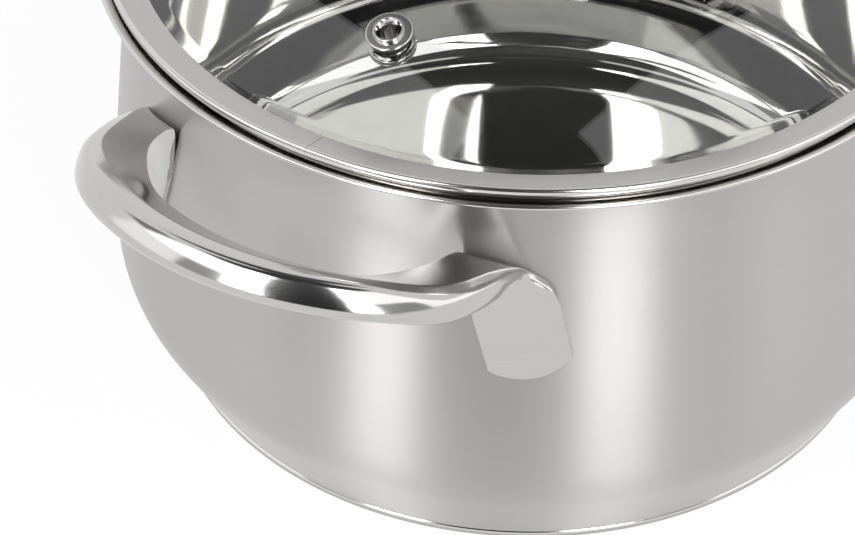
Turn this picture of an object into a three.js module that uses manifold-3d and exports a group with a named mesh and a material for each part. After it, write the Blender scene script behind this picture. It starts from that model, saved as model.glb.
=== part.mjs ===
// A stainless steel cooking pot with two cast loop handles and a domed glass lid.
// Millimetres, +Z up. The origin is the middle of the base's underside, and the side handles lie along X.
import * as THREE from 'three';
import { mergeVertices } from 'three/addons/utils/BufferGeometryUtils.js';
import Module from 'manifold-3d';

const wasm = await Module();
wasm.setup();

const { degToRad, radToDeg, lerp, smoothstep } = THREE.MathUtils;

// Fits shared by all the pieces
const GAP = 0.3; // between pieces that rest on or are joined to each other
const ROUND = 60; // sides of the large turned pieces
const SMALL_ROUND = 18; // sides of the small turned pieces

// Pot body
const POT_HEIGHT = 118.7; // underside of the base to the top of the lip
const BORE_RADIUS = 100; // inside of the neck
const WALL = 1; // sheet of the deep-drawn body
const BELLY_BULGE = 5; // how far the belly stands out past the neck
const BELLY_HEIGHT = 33.5; // height of the widest ring
const CORNER_RADIUS = 26; // rounding under the belly
const CORNER_TURN = 29; // degrees turned before the wall runs straight down to the base
const LIP_REACH = 8.1; // how far the pouring lip flares out from the bore
const LIP_RISE = 4.5; // height of the flare

// Capsule base
const BASE_SHEET = 0.8; // sheet of the capsule cup
const CORE_THICKNESS = 4.9; // aluminium disc
const BASE_BEVEL = 0.8; // small bevel round the foot of the cup

// Side handles
const HANDLE_DROP = 20.4; // where a leg bends off the wall, under the lip
const HANDLE_SPREAD = 47.8; // and from the handle's middle plane
const LOOP_WIDENING = 2.7; // how far the loop's circle reaches past the bends
const LOOP_TILT = 19; // degrees that the loop rises as it goes out
const LOOP_SINK = 16.9; // how far the loop's centre lies inside the neck
const LOOP_LOWERING = 3.4; // and under the bends
const BAR_FLAT = 11.3; // width of the flat on the bar's upper inner side
const BAR_LEAN = 39; // degrees that the flat faces in towards the pot
const BROW_REACH = 4.3; // top of the bar's round side, out from the flat's outer edge
const BROW_DEPTH = 1.9; // and off the flat
const BROW_BEVEL = 0.7;
const CHEEK_REACH = 4.9; // middle of that side
const CHEEK_DEPTH = 5.4;
const HEEL_REACH = 4.1; // foot of that side
const HEEL_DEPTH = 10.2;
const HEEL_BEVEL = 1.6;
const KEEL_DEPTH = 8; // underside, below the middle of the flat
const LEG_ANGLE = 57; // degrees round the loop, from its middle to the leg
const LEG_LIFT = 1.2; // how far the leg's flat lies over the loop's circle
const LEG_LEAN = 15;
const ROOT_INSET = 2.2; // how far the leg's root lies in from the bend, towards the middle plane
const ROOT_LIFT = 3.2; // and over it
const ROOT_STAND = 5.6; // and out from the wall
const ROOT_YAW = 18; // degrees that the flat has turned in plan, from the wall towards the bar
const ROOT_FLAT = 11.6; // width of the flat at the root
const ROOT_LEAN = -4;
const KNEE_INSET = 1.3; // where the flat begins to turn down, measured the same way
const KNEE_LIFT = 0.7;
const KNEE_STAND = 1.2;
const KNEE_YAW = 7;
const KNEE_FLAT = 13.4;
const KNEE_LEAN = -9;
const KNEE_PITCH = 72; // degrees that the flat has turned over from the wall towards the leg
const BEND_INSET = 0.8;
const BEND_SINK = 2.2;
const BEND_LEAN = -6;
const BEND_PITCH = 35;
const BEND_WIDTH = 15.5;
const BEND_THICKNESS = 2.8;
const SHOULDER_SPLAY = 2; // how far the tongue's shoulder lies out from the bend
const SHOULDER_SINK = 7.6; // and under it
const SHOULDER_LEAN = 7;
const SHOULDER_PITCH = 8;
const SHOULDER_WIDTH = 19.2;
const SHOULDER_THICKNESS = 2;
const TONGUE_DROP = 12.6; // bend down to the tongue's plain length
const TONGUE_SET = 3.2; // how far the tongue's top lies out from the bend
const TONGUE_WIDTH = 20.4; // welded tongue under each leg
const TONGUE_THICKNESS = 1.6;
const TONGUE_SUNK = 0.8; // how far the tongue is cut into by the curve of the wall
const TONGUE_LENGTH = 16; // top to the tip's corners
const TONGUE_SPLAY = 4.2; // how far the tip lies out from the tongue's top
const TONGUE_BOW = 4.4; // how far the rounded tip hangs under its corners

// Lid
const LID_TURN = 3; // degrees that the lid is turned in the lip
const LIP_SHOW = 2.15; // how far the pot's lip shows past the lid
const ROLL_RADIUS = 1.5; // underside of the rim's rolled edge
const BAND_EDGE = 0.8; // bevel from the rim's flat over to that edge
const BAND_COVER = 2.4; // how far the rim reaches in over the glass, from the bore
const BAND_FALL = 1.9; // how far the flat falls towards the glass
const BAND_SHEET = 0.5;
const BAND_HOOK = 2.4; // how far the rim grips under the glass
const SKIRT_CLEARANCE = 0.4; // rim's skirt to the bore
const GLASS_THICKNESS = 3.5;
const GLASS_LEDGE = 3; // flat edge of the glass that the rim grips
const DOME_RADIUS = 243; // outside of the dome

// Steam vent
const VENT_INSET = 27.4; // from the dome's foot in to the middle of the vent
const VENT_BORE = 2.35;
const VENT_TUBE = 0.95; // wall of the eyelet's tube
const VENT_COLLAR_WIDTH = 1.3; // raised collar round the hole
const VENT_COLLAR_RISE = 0.8;
const VENT_FLANGE_WIDTH = 1.95; // flange round the collar
const VENT_SHEET = 0.6; // flange and flare
const GROMMET_WALL = 0.7;
const GROMMET_INSET = 0.5; // how far the grommet lies in from the flange's edge
const GROMMET_THICKNESS = 1.1;
const WASHER_THICKNESS = 0.8;
const WASHER_WIDTH = 2;

// Lid handle
const GRIP_TURN = 78; // degrees from the vent round to the handle's front foot
const GRIP_TIP = 64; // tip of a foot from the lid's middle
const GRIP_SCREW = 50; // screw of a foot from the lid's middle
const GRIP_SWEEP = 78; // degrees of the bow's circle on each side of its top
const GRIP_RADIUS = 41; // middle of the bow's flat
const GRIP_RISE = 33; // top of the bow's flat over the top of the dome
const GRIP_WIDTH = 11.5;
const GRIP_DEPTH = 9.5;
const GRIP_FOOT_WIDTH = 13;
const GRIP_FOOT_DEPTH = 6.5;
const GRIP_TIP_DEPTH = 3;
const GRIP_TIP_BOW = 5;

// Screws of the lid handle
const SCREW_RADIUS = 2;
const SCREW_BITE = 4; // how far the screw goes up into the foot
const SCREW_HEAD_RADIUS = 4;
const SCREW_HEAD_HEIGHT = 2.4;
const SCREW_HEAD_BEVEL = 1.2;
const PAD_RADIUS = 6; // pads over and under the glass
const PAD_THICKNESS = 1.2;
const PAD_SPIGOT = 1.2; // wall of the pad's sleeve in the glass

// Shares that shape the sections of the cast handles
const TONGUE_SQUARENESS = 0.35; // flat plate with eased edges
const LEG_SIZE = 0.85; // share of the bar's belly that is left at the leg
const ROOT_SIZE = 0.62;
const KNEE_SIZE = 0.3;
const GRIP_FULLNESS = 0.35;
const GRIP_FOOT_SQUARENESS = 0.45;

// Steps of the curves
const CORNER_STEPS = 3;
const SIDE_STEPS = 7;
const LIP_STEPS = 5;
const ROLL_STEPS = 3;
const DOME_STEPS = 7;
const BAR_STEPS = 3; // leg to the middle of the bar
const BOW_STEPS = 3; // foot to the top of the lid handle's bow
const FLAT_POINTS = 7; // points across a handle's flat, and as many round its belly
const RINGS_PER_SPAN = 4;

// Sizes that follow from those above
const NECK_RADIUS = BORE_RADIUS + WALL;
const BELLY_RADIUS = NECK_RADIUS + BELLY_BULGE;
const NECK_HEIGHT = POT_HEIGHT - LIP_RISE;
const LIP_RADIUS = BORE_RADIUS + LIP_REACH;
const CORE_BOTTOM = BASE_SHEET + GAP;
const CORE_TOP = CORE_BOTTOM + CORE_THICKNESS;
const BODY_BOTTOM = CORE_TOP + GAP;
const FLOOR = BODY_BOTTOM + WALL;
const LID_RADIUS = LIP_RADIUS - LIP_SHOW;
const ROLL_MIDDLE = LID_RADIUS - ROLL_RADIUS;
const BAND_SHOULDER = LID_RADIUS - BAND_EDGE;

const steel = { color: 0xb9b8b6, roughness: 0.35, metalness: 1 };
const polished = { color: 0xc9c9c9, roughness: 0.12, metalness: 1 };
const aluminium = { color: 0xa9abae, roughness: 0.5, metalness: 1 };
const silicone = { color: 0x2a2a2b, roughness: 0.7, metalness: 0 };
const glass = { color: 0xdfe6e4, roughness: 0.05, metalness: 0, transparent: true, opacity: 0.35 };

function piece(name, geometry, look) {
  const mesh = new THREE.Mesh(geometry, new THREE.MeshStandardMaterial(look));
  mesh.name = name;
  return mesh;
}

// A profile of [radius, height] points turned round Z.
function turned(profile, sides) {
  const points = profile.map(([radius, height]) => new THREE.Vector2(radius, height));
  const geometry = new THREE.LatheGeometry(points, sides);
  geometry.rotateX(Math.PI / 2);
  return geometry;
}

// A turned piece whose profile comes back to its first point.
function turnedRing(profile, sides) {
  return turned([...profile, profile[0]], sides);
}

function disc(radius, bottom, top) {
  return turned([[0, bottom], [radius, bottom], [radius, top], [0, top]], SMALL_ROUND);
}

function ring(inner, outer, bottom, top) {
  return turnedRing([[inner, bottom], [outer, bottom], [outer, top], [inner, top]], SMALL_ROUND);
}

// Evenly spaced numbers from one end to the other, both included.
function steps(from, to, count) {
  return Array.from({ length: count + 1 }, (_, i) => lerp(from, to, i / count));
}

// A closed mesh as a solid that can be cut, without the slivers that a lathe leaves on its axis.
function solid(geometry) {
  const bare = geometry.clone();
  bare.deleteAttribute('normal');
  bare.deleteAttribute('uv');
  const merged = mergeVertices(bare);
  const corners = merged.index.array;
  const kept = [];
  for (let i = 0; i < corners.length; i += 3) {
    const [a, b, c] = corners.slice(i, i + 3);
    if (a !== b && b !== c && c !== a) {
      kept.push(a, b, c);
    }
  }
  const vertProperties = new Float32Array(merged.attributes.position.array);
  const triVerts = new Uint32Array(kept);
  return new wasm.Manifold(new wasm.Mesh({ numProp: 3, vertProperties, triVerts }));
}

function cut(geometry, ...tools) {
  let body = solid(geometry);
  for (const tool of tools) {
    body = body.subtract(solid(tool));
  }
  const mesh = body.getMesh();
  const result = new THREE.BufferGeometry();
  result.setAttribute('position', new THREE.BufferAttribute(new Float32Array(mesh.vertProperties), 3));
  result.setIndex(new THREE.BufferAttribute(new Uint32Array(mesh.triVerts), 1));
  result.computeVertexNormals();
  return result;
}

// Outside of the wall: a cone over the base, a rounded corner, then a long easy S up to the neck.
function wallRadius(z) {
  if (z >= BELLY_HEIGHT) {
    return BELLY_RADIUS - BELLY_BULGE * smoothstep(z, BELLY_HEIGHT, NECK_HEIGHT);
  }
  const turn = degToRad(CORNER_TURN);
  const drop = BELLY_HEIGHT - z;
  const arcDrop = CORNER_RADIUS * Math.sin(turn);
  if (drop < arcDrop) {
    return BELLY_RADIUS - CORNER_RADIUS + Math.sqrt(CORNER_RADIUS ** 2 - drop ** 2);
  }
  const arcInset = CORNER_RADIUS * (1 - Math.cos(turn));
  return BELLY_RADIUS - arcInset - (drop - arcDrop) * Math.tan(turn);
}

// Heights at which the wall's profile gets a point, from the base up to the neck.
function wallHeights(bottom) {
  const arcBottom = BELLY_HEIGHT - CORNER_RADIUS * Math.sin(degToRad(CORNER_TURN));
  const corner = steps(arcBottom, BELLY_HEIGHT, CORNER_STEPS);
  const side = steps(BELLY_HEIGHT, NECK_HEIGHT, SIDE_STEPS);
  return [bottom, ...[...corner, ...side.slice(1)].filter((z) => z > bottom)];
}

// Upper face of the pouring lip: a quarter of an ellipse from the bore out to the edge.
function lipPoint(angle) {
  const radius = LIP_RADIUS - LIP_REACH * Math.cos(angle);
  return [radius, NECK_HEIGHT + LIP_RISE * Math.sin(angle)];
}

// The lower face of the lip lies one sheet below the upper one, square to it.
function lipUnderside(angle) {
  const [radius, height] = lipPoint(angle);
  const slope = new THREE.Vector2(LIP_RISE * Math.cos(angle), LIP_REACH * Math.sin(angle)).normalize();
  return [radius + WALL * slope.x, height - WALL * slope.y];
}

function potBody() {
  const lip = steps(0, Math.PI / 2, LIP_STEPS);
  const outside = wallHeights(BODY_BOTTOM).slice(0, -1).map((z) => [wallRadius(z), z]);
  const inside = wallHeights(FLOOR).slice(0, -1).map((z) => [wallRadius(z) - WALL, z]);
  const profile = [
    [0, BODY_BOTTOM],
    ...outside,
    ...lip.map(lipUnderside),
    ...lip.toReversed().map(lipPoint),
    ...inside.toReversed(),
    [0, FLOOR],
  ];
  return piece('pot_body', turned(profile, ROUND), steel);
}

function baseCore() {
  const inset = BASE_SHEET + GAP;
  const profile = [
    [0, CORE_BOTTOM],
    [wallRadius(CORE_BOTTOM) - inset, CORE_BOTTOM],
    [wallRadius(CORE_TOP) - inset, CORE_TOP],
    [0, CORE_TOP],
  ];
  return piece('base_core', turned(profile, ROUND), aluminium);
}

function baseCap() {
  const profile = [
    [0, 0],
    [wallRadius(BASE_BEVEL) - BASE_BEVEL, 0],
    [wallRadius(BASE_BEVEL), BASE_BEVEL],
    [wallRadius(CORE_TOP), CORE_TOP],
    [wallRadius(CORE_TOP) - BASE_SHEET, CORE_TOP],
    [wallRadius(BASE_SHEET) - BASE_SHEET, BASE_SHEET],
    [0, BASE_SHEET],
  ];
  return piece('base_cap', turned(profile, ROUND), steel);
}

// Belly of a plate or a plain bar, from the flat's outer edge round to its inner edge.
// fullness swells it past the flat's edges and squareness flattens it towards a plate.
function plateBelly({ width, depth, fullness = 0, squareness = 1 }) {
  return steps(1, FLAT_POINTS, FLAT_POINTS - 1).map((i) => {
    const angle = Math.PI * (i - 0.5) / FLAT_POINTS;
    const swell = 1 + fullness * Math.sin(angle);
    return new THREE.Vector2(width / 2 * Math.cos(angle) * swell, -depth * Math.sin(angle) ** squareness);
  });
}

// Belly of a side handle's bar: a brow, a cheek, a heel and a keel. size is its share of the full belly.
function barBelly(flat, size) {
  const corner = (reach, depth) => new THREE.Vector2(flat / 2 + size * reach, -size * depth);
  const brow = corner(BROW_REACH, BROW_DEPTH);
  const cheek = corner(CHEEK_REACH, CHEEK_DEPTH);
  const heel = corner(HEEL_REACH, HEEL_DEPTH);
  const keel = new THREE.Vector2(0, -size * KEEL_DEPTH);
  const bevel = (from, to, length) => to.clone().sub(from).setLength(size * length).add(from);
  return [
    bevel(brow, corner(0, 0), BROW_BEVEL),
    bevel(brow, cheek, BROW_BEVEL),
    cheek,
    bevel(heel, cheek, HEEL_BEVEL),
    bevel(heel, keel, HEEL_BEVEL),
    keel,
    new THREE.Vector2(-flat / 2, 0).lerp(keel, 0.5),
  ];
}

// One ring of a cast handle. Its flat runs along across, and its belly hangs off the flat against out.
function station({ middle, across, out, width, belly, bow }) {
  const flat = steps(-width / 2, width / 2, FLAT_POINTS - 1).map((x) => new THREE.Vector2(x, 0));
  return [...flat, ...belly].map(({ x, y }) => {
    const point = middle.clone().addScaledVector(across, x).addScaledVector(out, y);
    return bow ? point.addScaledVector(bow, 1 - (2 * x / width) ** 2) : point;
  });
}

// The same ring on the other side of a middle plane, listed so that it runs the same way round.
function mirrored(points, axis) {
  return points.map((point) => {
    const copy = point.clone();
    copy[axis] = -copy[axis];
    return copy;
  });
}

// A smooth skin through the rings of half a handle and their mirror images, closed at both tips.
function loft(half, axis) {
  const keys = [...half, ...half.slice(0, -1).toReversed().map((points) => mirrored(points, axis))];
  const size = 2 * FLAT_POINTS;
  const count = (keys.length - 1) * RINGS_PER_SPAN;
  const columns = steps(0, size - 1, size - 1).map((i) => keys.map((key) => key[i]));
  const lines = columns.map((points) => new THREE.CatmullRomCurve3(points));
  const vertices = steps(0, 1, count).flatMap((t) => lines.map((line) => line.getPoint(t)));
  const index = [];
  for (let r = 0; r < count; r += 1) {
    for (let i = 0; i < size; i += 1) {
      const a = r * size + i;
      const b = r * size + (i + 1) % size;
      index.push(a, a + size, b, b, a + size, b + size);
    }
  }
  const last = count * size;
  for (let i = 0; i < FLAT_POINTS - 1; i += 1) {
    const across = size - 1 - i;
    index.push(i, i + 1, across, i + 1, across - 1, across);
    index.push(last + i, last + across, last + i + 1, last + i + 1, last + across, last + across - 1);
  }
  const geometry = new THREE.BufferGeometry().setFromPoints(vertices);
  geometry.setIndex(index);
  return facingOut(geometry);
}

// Turns every triangle round when the skin encloses a negative volume.
function facingOut(geometry) {
  const at = (i) => new THREE.Vector3().fromBufferAttribute(geometry.attributes.position, i);
  const corners = Array.from(geometry.index.array);
  let volume = 0;
  for (let i = 0; i < corners.length; i += 3) {
    volume += at(corners[i]).dot(at(corners[i + 1]).cross(at(corners[i + 2])));
  }
  if (volume < 0) {
    geometry.setIndex(corners.toReversed());
  }
  return geometry;
}

// A ring of a side handle. facing is the way that the flat's outer edge lies in plan, lean lifts that edge,
// and pitch turns the flat from facing the pot, at 0, to facing up, at 90. All three are degrees.
function handleStation({ middle, facing, lean, pitch, bow = 0, ...section }) {
  const way = degToRad(facing);
  const slope = degToRad(lean);
  const over = degToRad(pitch);
  const up = new THREE.Vector3(0, 0, 1);
  const aside = new THREE.Vector3(Math.cos(way), Math.sin(way), 0);
  const across = aside.clone().multiplyScalar(Math.cos(slope)).addScaledVector(up, Math.sin(slope));
  const upright = up.clone().multiplyScalar(Math.cos(slope)).addScaledVector(aside, -Math.sin(slope));
  const inward = upright.clone().cross(across);
  const out = inward.multiplyScalar(Math.cos(over)).addScaledVector(upright, Math.sin(over));
  return station({ middle, across, out, bow: upright.multiplyScalar(bow), ...section });
}

// A point that stands off the wall, with the plan direction along the wall there.
function byTheWall(spread, drop, stand) {
  const z = POT_HEIGHT - drop;
  const radius = wallRadius(z) + GAP + stand;
  const turn = Math.asin(spread / radius);
  const middle = new THREE.Vector3(radius * Math.cos(turn), spread, z);
  return { middle, facing: radToDeg(turn) + 90 };
}

// The tongue is welded flat to the wall: part is 0 at its top and 1 at its tip.
function tongueStation(part, bow) {
  const spread = HANDLE_SPREAD + TONGUE_SET + TONGUE_SPLAY * part;
  const drop = HANDLE_DROP + TONGUE_DROP + TONGUE_LENGTH * part;
  const depth = TONGUE_THICKNESS + TONGUE_SUNK;
  return handleStation({
    ...byTheWall(spread, drop, -TONGUE_SUNK),
    lean: radToDeg(Math.atan2(TONGUE_SPLAY, TONGUE_LENGTH)),
    pitch: 0,
    width: TONGUE_WIDTH,
    belly: plateBelly({ width: TONGUE_WIDTH, depth, squareness: TONGUE_SQUARENESS }),
    bow,
  });
}

// Where the tongue begins to narrow towards the bend.
function shoulderStation() {
  const depth = SHOULDER_THICKNESS + TONGUE_SUNK;
  return handleStation({
    ...byTheWall(HANDLE_SPREAD + SHOULDER_SPLAY, HANDLE_DROP + SHOULDER_SINK, -TONGUE_SUNK),
    lean: SHOULDER_LEAN,
    pitch: SHOULDER_PITCH,
    width: SHOULDER_WIDTH,
    belly: plateBelly({ width: SHOULDER_WIDTH, depth, squareness: TONGUE_SQUARENESS }),
  });
}

// Where the plate leaves the wall.
function bendStation() {
  return handleStation({
    ...byTheWall(HANDLE_SPREAD - BEND_INSET, HANDLE_DROP + BEND_SINK, 0),
    lean: BEND_LEAN,
    pitch: BEND_PITCH,
    width: BEND_WIDTH,
    belly: plateBelly({ width: BEND_WIDTH, depth: BEND_THICKNESS, squareness: TONGUE_SQUARENESS }),
  });
}

// Where the flat begins to turn down.
function kneeStation() {
  const { middle, facing } = byTheWall(HANDLE_SPREAD - KNEE_INSET, HANDLE_DROP - KNEE_LIFT, KNEE_STAND);
  return handleStation({
    middle,
    facing: facing - KNEE_YAW,
    lean: KNEE_LEAN,
    pitch: KNEE_PITCH,
    width: KNEE_FLAT,
    belly: barBelly(KNEE_FLAT, KNEE_SIZE),
  });
}

// Where the leg has turned over and its flat faces up.
function rootStation() {
  const { middle, facing } = byTheWall(HANDLE_SPREAD - ROOT_INSET, HANDLE_DROP - ROOT_LIFT, ROOT_STAND);
  return handleStation({
    middle,
    facing: facing - ROOT_YAW,
    lean: ROOT_LEAN,
    pitch: 90,
    width: ROOT_FLAT,
    belly: barBelly(ROOT_FLAT, ROOT_SIZE),
  });
}

// The bar bends round a circle in a plane that rises outwards: angle is 0 in the middle of the bar.
// Its section stays upright, with the flat leaning in towards the pot.
function barStation({ angle, lean, lift, size }) {
  const tilt = degToRad(LOOP_TILT);
  const turn = degToRad(angle);
  const radius = HANDLE_SPREAD + LOOP_WIDENING;
  const reach = radius * Math.cos(turn);
  const middle = new THREE.Vector3(
    NECK_RADIUS - LOOP_SINK + reach * Math.cos(tilt),
    radius * Math.sin(turn),
    POT_HEIGHT - HANDLE_DROP - LOOP_LOWERING + lift + reach * Math.sin(tilt),
  );
  return handleStation({
    middle,
    facing: radToDeg(Math.atan2(Math.cos(tilt) * Math.sin(turn), Math.cos(turn))),
    lean,
    pitch: 90,
    width: BAR_FLAT,
    belly: barBelly(BAR_FLAT, size),
  });
}

function sideHandle(name) {
  const barAngles = steps(LEG_ANGLE, 0, BAR_STEPS).slice(1);
  const half = [
    tongueStation(1, -TONGUE_BOW),
    tongueStation(0.5, 0),
    tongueStation(0, 0),
    shoulderStation(),
    bendStation(),
    kneeStation(),
    rootStation(),
    barStation({ angle: LEG_ANGLE, lean: LEG_LEAN, lift: LEG_LIFT, size: LEG_SIZE }),
    ...barAngles.map((angle) => barStation({ angle, lean: BAR_LEAN, lift: 0, size: 1 })),
  ];
  const envelope = wallHeights(BODY_BOTTOM).map((z) => [wallRadius(z) + GAP, z]);
  const wall = turned([[0, BODY_BOTTOM], ...envelope, [0, NECK_HEIGHT]], ROUND);
  return piece(name, cut(loft(half, 'y'), wall), polished);
}

// Lowest middle of the rolled edge that still clears the lip all round.
function rollHeight() {
  const reach = ROLL_RADIUS + GAP;
  const heights = steps(0, Math.PI / 2, ROUND).map((angle) => {
    const [radius, height] = lipPoint(angle);
    const aside = Math.min(Math.abs(ROLL_MIDDLE - radius), reach);
    return aside < reach ? height + Math.sqrt(reach ** 2 - aside ** 2) : height;
  });
  return Math.max(...heights);
}

// Everything in the lid is placed over the flat edge of its glass.
const LEDGE_RADIUS = BORE_RADIUS - SKIRT_CLEARANCE - BAND_SHEET - GAP;
const ROLL_HEIGHT = rollHeight();
const BAND_INNER = BORE_RADIUS - BAND_COVER;
const BAND_TOP = ROLL_HEIGHT + ROLL_RADIUS;
const LEDGE_TOP = BAND_TOP - BAND_FALL - BAND_SHEET - GAP;
const LEDGE_BOTTOM = LEDGE_TOP - GLASS_THICKNESS;
const DOME_FOOT = LEDGE_RADIUS - GLASS_LEDGE;
const DOME_MIDDLE = LEDGE_TOP - Math.sqrt(DOME_RADIUS ** 2 - DOME_FOOT ** 2);
const DOME_TOP = DOME_MIDDLE + DOME_RADIUS;
const VENT_RADIUS = DOME_FOOT - VENT_INSET;

// Stack of the vent, measured up from the outside of the glass.
const UNDER_GLASS = -GLASS_THICKNESS - GAP;
const TUBE_OUTER = VENT_BORE + VENT_TUBE;
const VENT_COLLAR = VENT_BORE + VENT_COLLAR_WIDTH;
const VENT_FLANGE = VENT_COLLAR + VENT_FLANGE_WIDTH;
const GROMMET_INNER = TUBE_OUTER + GAP;
const GROMMET_OUTER = GROMMET_INNER + GROMMET_WALL;
const GROMMET_TOP = GAP + GROMMET_THICKNESS;
const WASHER_OUTER = GROMMET_INNER + WASHER_WIDTH;
const FLANGE_BOTTOM = GROMMET_TOP + GAP;
const FLANGE_TOP = FLANGE_BOTTOM + VENT_SHEET;
const WASHER_BOTTOM = UNDER_GLASS - WASHER_THICKNESS;
const FLARE_TOP = WASHER_BOTTOM - GAP;
const FLARE_BOTTOM = FLARE_TOP - VENT_SHEET;

// Stack of each screw of the lid handle, measured the same way.
const PAD_INNER = SCREW_RADIUS + GAP;
const PAD_SLEEVE = PAD_INNER + PAD_SPIGOT;
const PAD_TOP = GAP + PAD_THICKNESS;
const FOOT_BOTTOM = PAD_TOP + GAP;
const UNDER_PAD_BOTTOM = UNDER_GLASS - PAD_THICKNESS;
const SCREW_WASHER_TOP = UNDER_PAD_BOTTOM - GAP;
const SCREW_WASHER_BOTTOM = SCREW_WASHER_TOP - WASHER_THICKNESS;
const HEAD_TOP = SCREW_WASHER_BOTTOM - GAP;
const HEAD_BOTTOM = HEAD_TOP - SCREW_HEAD_HEIGHT;
const SCREW_TIP = FOOT_BOTTOM + SCREW_BITE;

function bandTopAt(radius) {
  return BAND_TOP - BAND_FALL * (BAND_SHOULDER - radius) / (BAND_SHOULDER - BAND_INNER);
}

function lidBand() {
  const roll = steps(-Math.PI / 2, 0, ROLL_STEPS).map((angle) => [
    ROLL_MIDDLE + ROLL_RADIUS * Math.cos(angle),
    ROLL_HEIGHT + ROLL_RADIUS * Math.sin(angle),
  ]);
  const skirt = BORE_RADIUS - SKIRT_CLEARANCE;
  const grip = skirt - BAND_SHEET;
  const hookTop = LEDGE_BOTTOM - GAP;
  const hookBottom = hookTop - BAND_SHEET;
  const profile = [
    [BAND_INNER, bandTopAt(BAND_INNER)],
    [BAND_INNER, bandTopAt(BAND_INNER) - BAND_SHEET],
    [grip, bandTopAt(grip) - BAND_SHEET],
    [grip, hookTop],
    [grip - BAND_HOOK, hookTop],
    [grip - BAND_HOOK, hookBottom],
    [skirt, hookBottom],
    [skirt, ROLL_HEIGHT - ROLL_RADIUS],
    ...roll,
    [LID_RADIUS, BAND_TOP - BAND_EDGE],
    [BAND_SHOULDER, BAND_TOP],
  ];
  return piece('lid_band', turnedRing(profile, ROUND), steel);
}

// A group that stands square on the dome at a radius from the lid's middle, with its zero on the glass.
function onDome(radius) {
  const lean = Math.asin(radius / DOME_RADIUS);
  const group = new THREE.Group();
  group.position.set(radius, 0, DOME_MIDDLE + DOME_RADIUS * Math.cos(lean));
  group.rotation.y = lean;
  group.updateMatrix();
  return group;
}

function domeHole(place, radius, turn) {
  const hole = disc(radius, -2 * GLASS_THICKNESS, GLASS_THICKNESS);
  return hole.applyMatrix4(place.matrix).rotateZ(turn);
}

function lidGlass() {
  const dome = (radius, inset) => {
    const size = DOME_RADIUS - inset;
    return [radius, DOME_MIDDLE + Math.sqrt(size ** 2 - radius ** 2)];
  };
  const innerSize = DOME_RADIUS - GLASS_THICKNESS;
  const innerFoot = Math.sqrt(innerSize ** 2 - (LEDGE_BOTTOM - DOME_MIDDLE) ** 2);
  const profile = [
    ...steps(0, innerFoot, DOME_STEPS).map((radius) => dome(radius, GLASS_THICKNESS)),
    [LEDGE_RADIUS, LEDGE_BOTTOM],
    [LEDGE_RADIUS, LEDGE_TOP],
    ...steps(DOME_FOOT, 0, DOME_STEPS).map((radius) => dome(radius, 0)),
  ];
  const ventHole = domeHole(onDome(VENT_RADIUS), GROMMET_OUTER + GAP, 0);
  const screwHole = PAD_SLEEVE + GAP;
  const grip = degToRad(GRIP_TURN);
  const front = domeHole(onDome(GRIP_SCREW), screwHole, grip);
  const back = domeHole(onDome(GRIP_SCREW), screwHole, grip + Math.PI);
  return piece('lid_glass', cut(turned(profile, ROUND), ventHole, front, back), glass);
}

function ventEyelet() {
  const profile = [
    [VENT_BORE, FLARE_BOTTOM],
    [WASHER_OUTER, FLARE_BOTTOM],
    [WASHER_OUTER, FLARE_TOP],
    [TUBE_OUTER, FLARE_TOP],
    [TUBE_OUTER, FLANGE_BOTTOM],
    [VENT_FLANGE, FLANGE_BOTTOM],
    [VENT_FLANGE, FLANGE_TOP],
    [VENT_COLLAR, FLANGE_TOP],
    [VENT_COLLAR, FLANGE_TOP + VENT_COLLAR_RISE],
    [VENT_BORE, FLANGE_TOP + VENT_COLLAR_RISE],
  ];
  return piece('vent_eyelet', turnedRing(profile, SMALL_ROUND), polished);
}

function ventGasket() {
  const lip = VENT_FLANGE - GROMMET_INSET;
  const profile = [
    [GROMMET_INNER, -GLASS_THICKNESS],
    [GROMMET_OUTER, -GLASS_THICKNESS],
    [GROMMET_OUTER, GAP],
    [lip, GAP],
    [lip, GROMMET_TOP],
    [GROMMET_INNER, GROMMET_TOP],
  ];
  return piece('vent_gasket', turnedRing(profile, SMALL_ROUND), silicone);
}

function ventWasher() {
  const washer = ring(GROMMET_INNER, WASHER_OUTER, WASHER_BOTTOM, UNDER_GLASS);
  return piece('vent_washer', washer, polished);
}

// What clamps one foot of the lid handle to the glass, from its pad down to its screw.
function screwStack(end) {
  const pad = [
    [PAD_INNER, -GLASS_THICKNESS],
    [PAD_SLEEVE, -GLASS_THICKNESS],
    [PAD_SLEEVE, GAP],
    [PAD_RADIUS, GAP],
    [PAD_RADIUS, PAD_TOP],
    [PAD_INNER, PAD_TOP],
  ];
  const screw = [
    [0, HEAD_BOTTOM],
    [SCREW_HEAD_RADIUS - SCREW_HEAD_BEVEL, HEAD_BOTTOM],
    [SCREW_HEAD_RADIUS, HEAD_BOTTOM + SCREW_HEAD_BEVEL],
    [SCREW_HEAD_RADIUS, HEAD_TOP],
    [SCREW_RADIUS, HEAD_TOP],
    [SCREW_RADIUS, SCREW_TIP],
    [0, SCREW_TIP],
  ];
  const underPad = ring(PAD_INNER, PAD_RADIUS, UNDER_PAD_BOTTOM, UNDER_GLASS);
  const washer = ring(PAD_INNER, PAD_RADIUS, SCREW_WASHER_BOTTOM, SCREW_WASHER_TOP);
  const group = onDome(GRIP_SCREW);
  group.add(
    piece(`lid_handle_gasket_${end}`, turnedRing(pad, SMALL_ROUND), silicone),
    piece(`lid_screw_gasket_${end}`, underPad, silicone),
    piece(`lid_screw_washer_${end}`, washer, polished),
    piece(`lid_screw_${end}`, turned(screw, SMALL_ROUND), polished),
  );
  return group;
}

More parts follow.
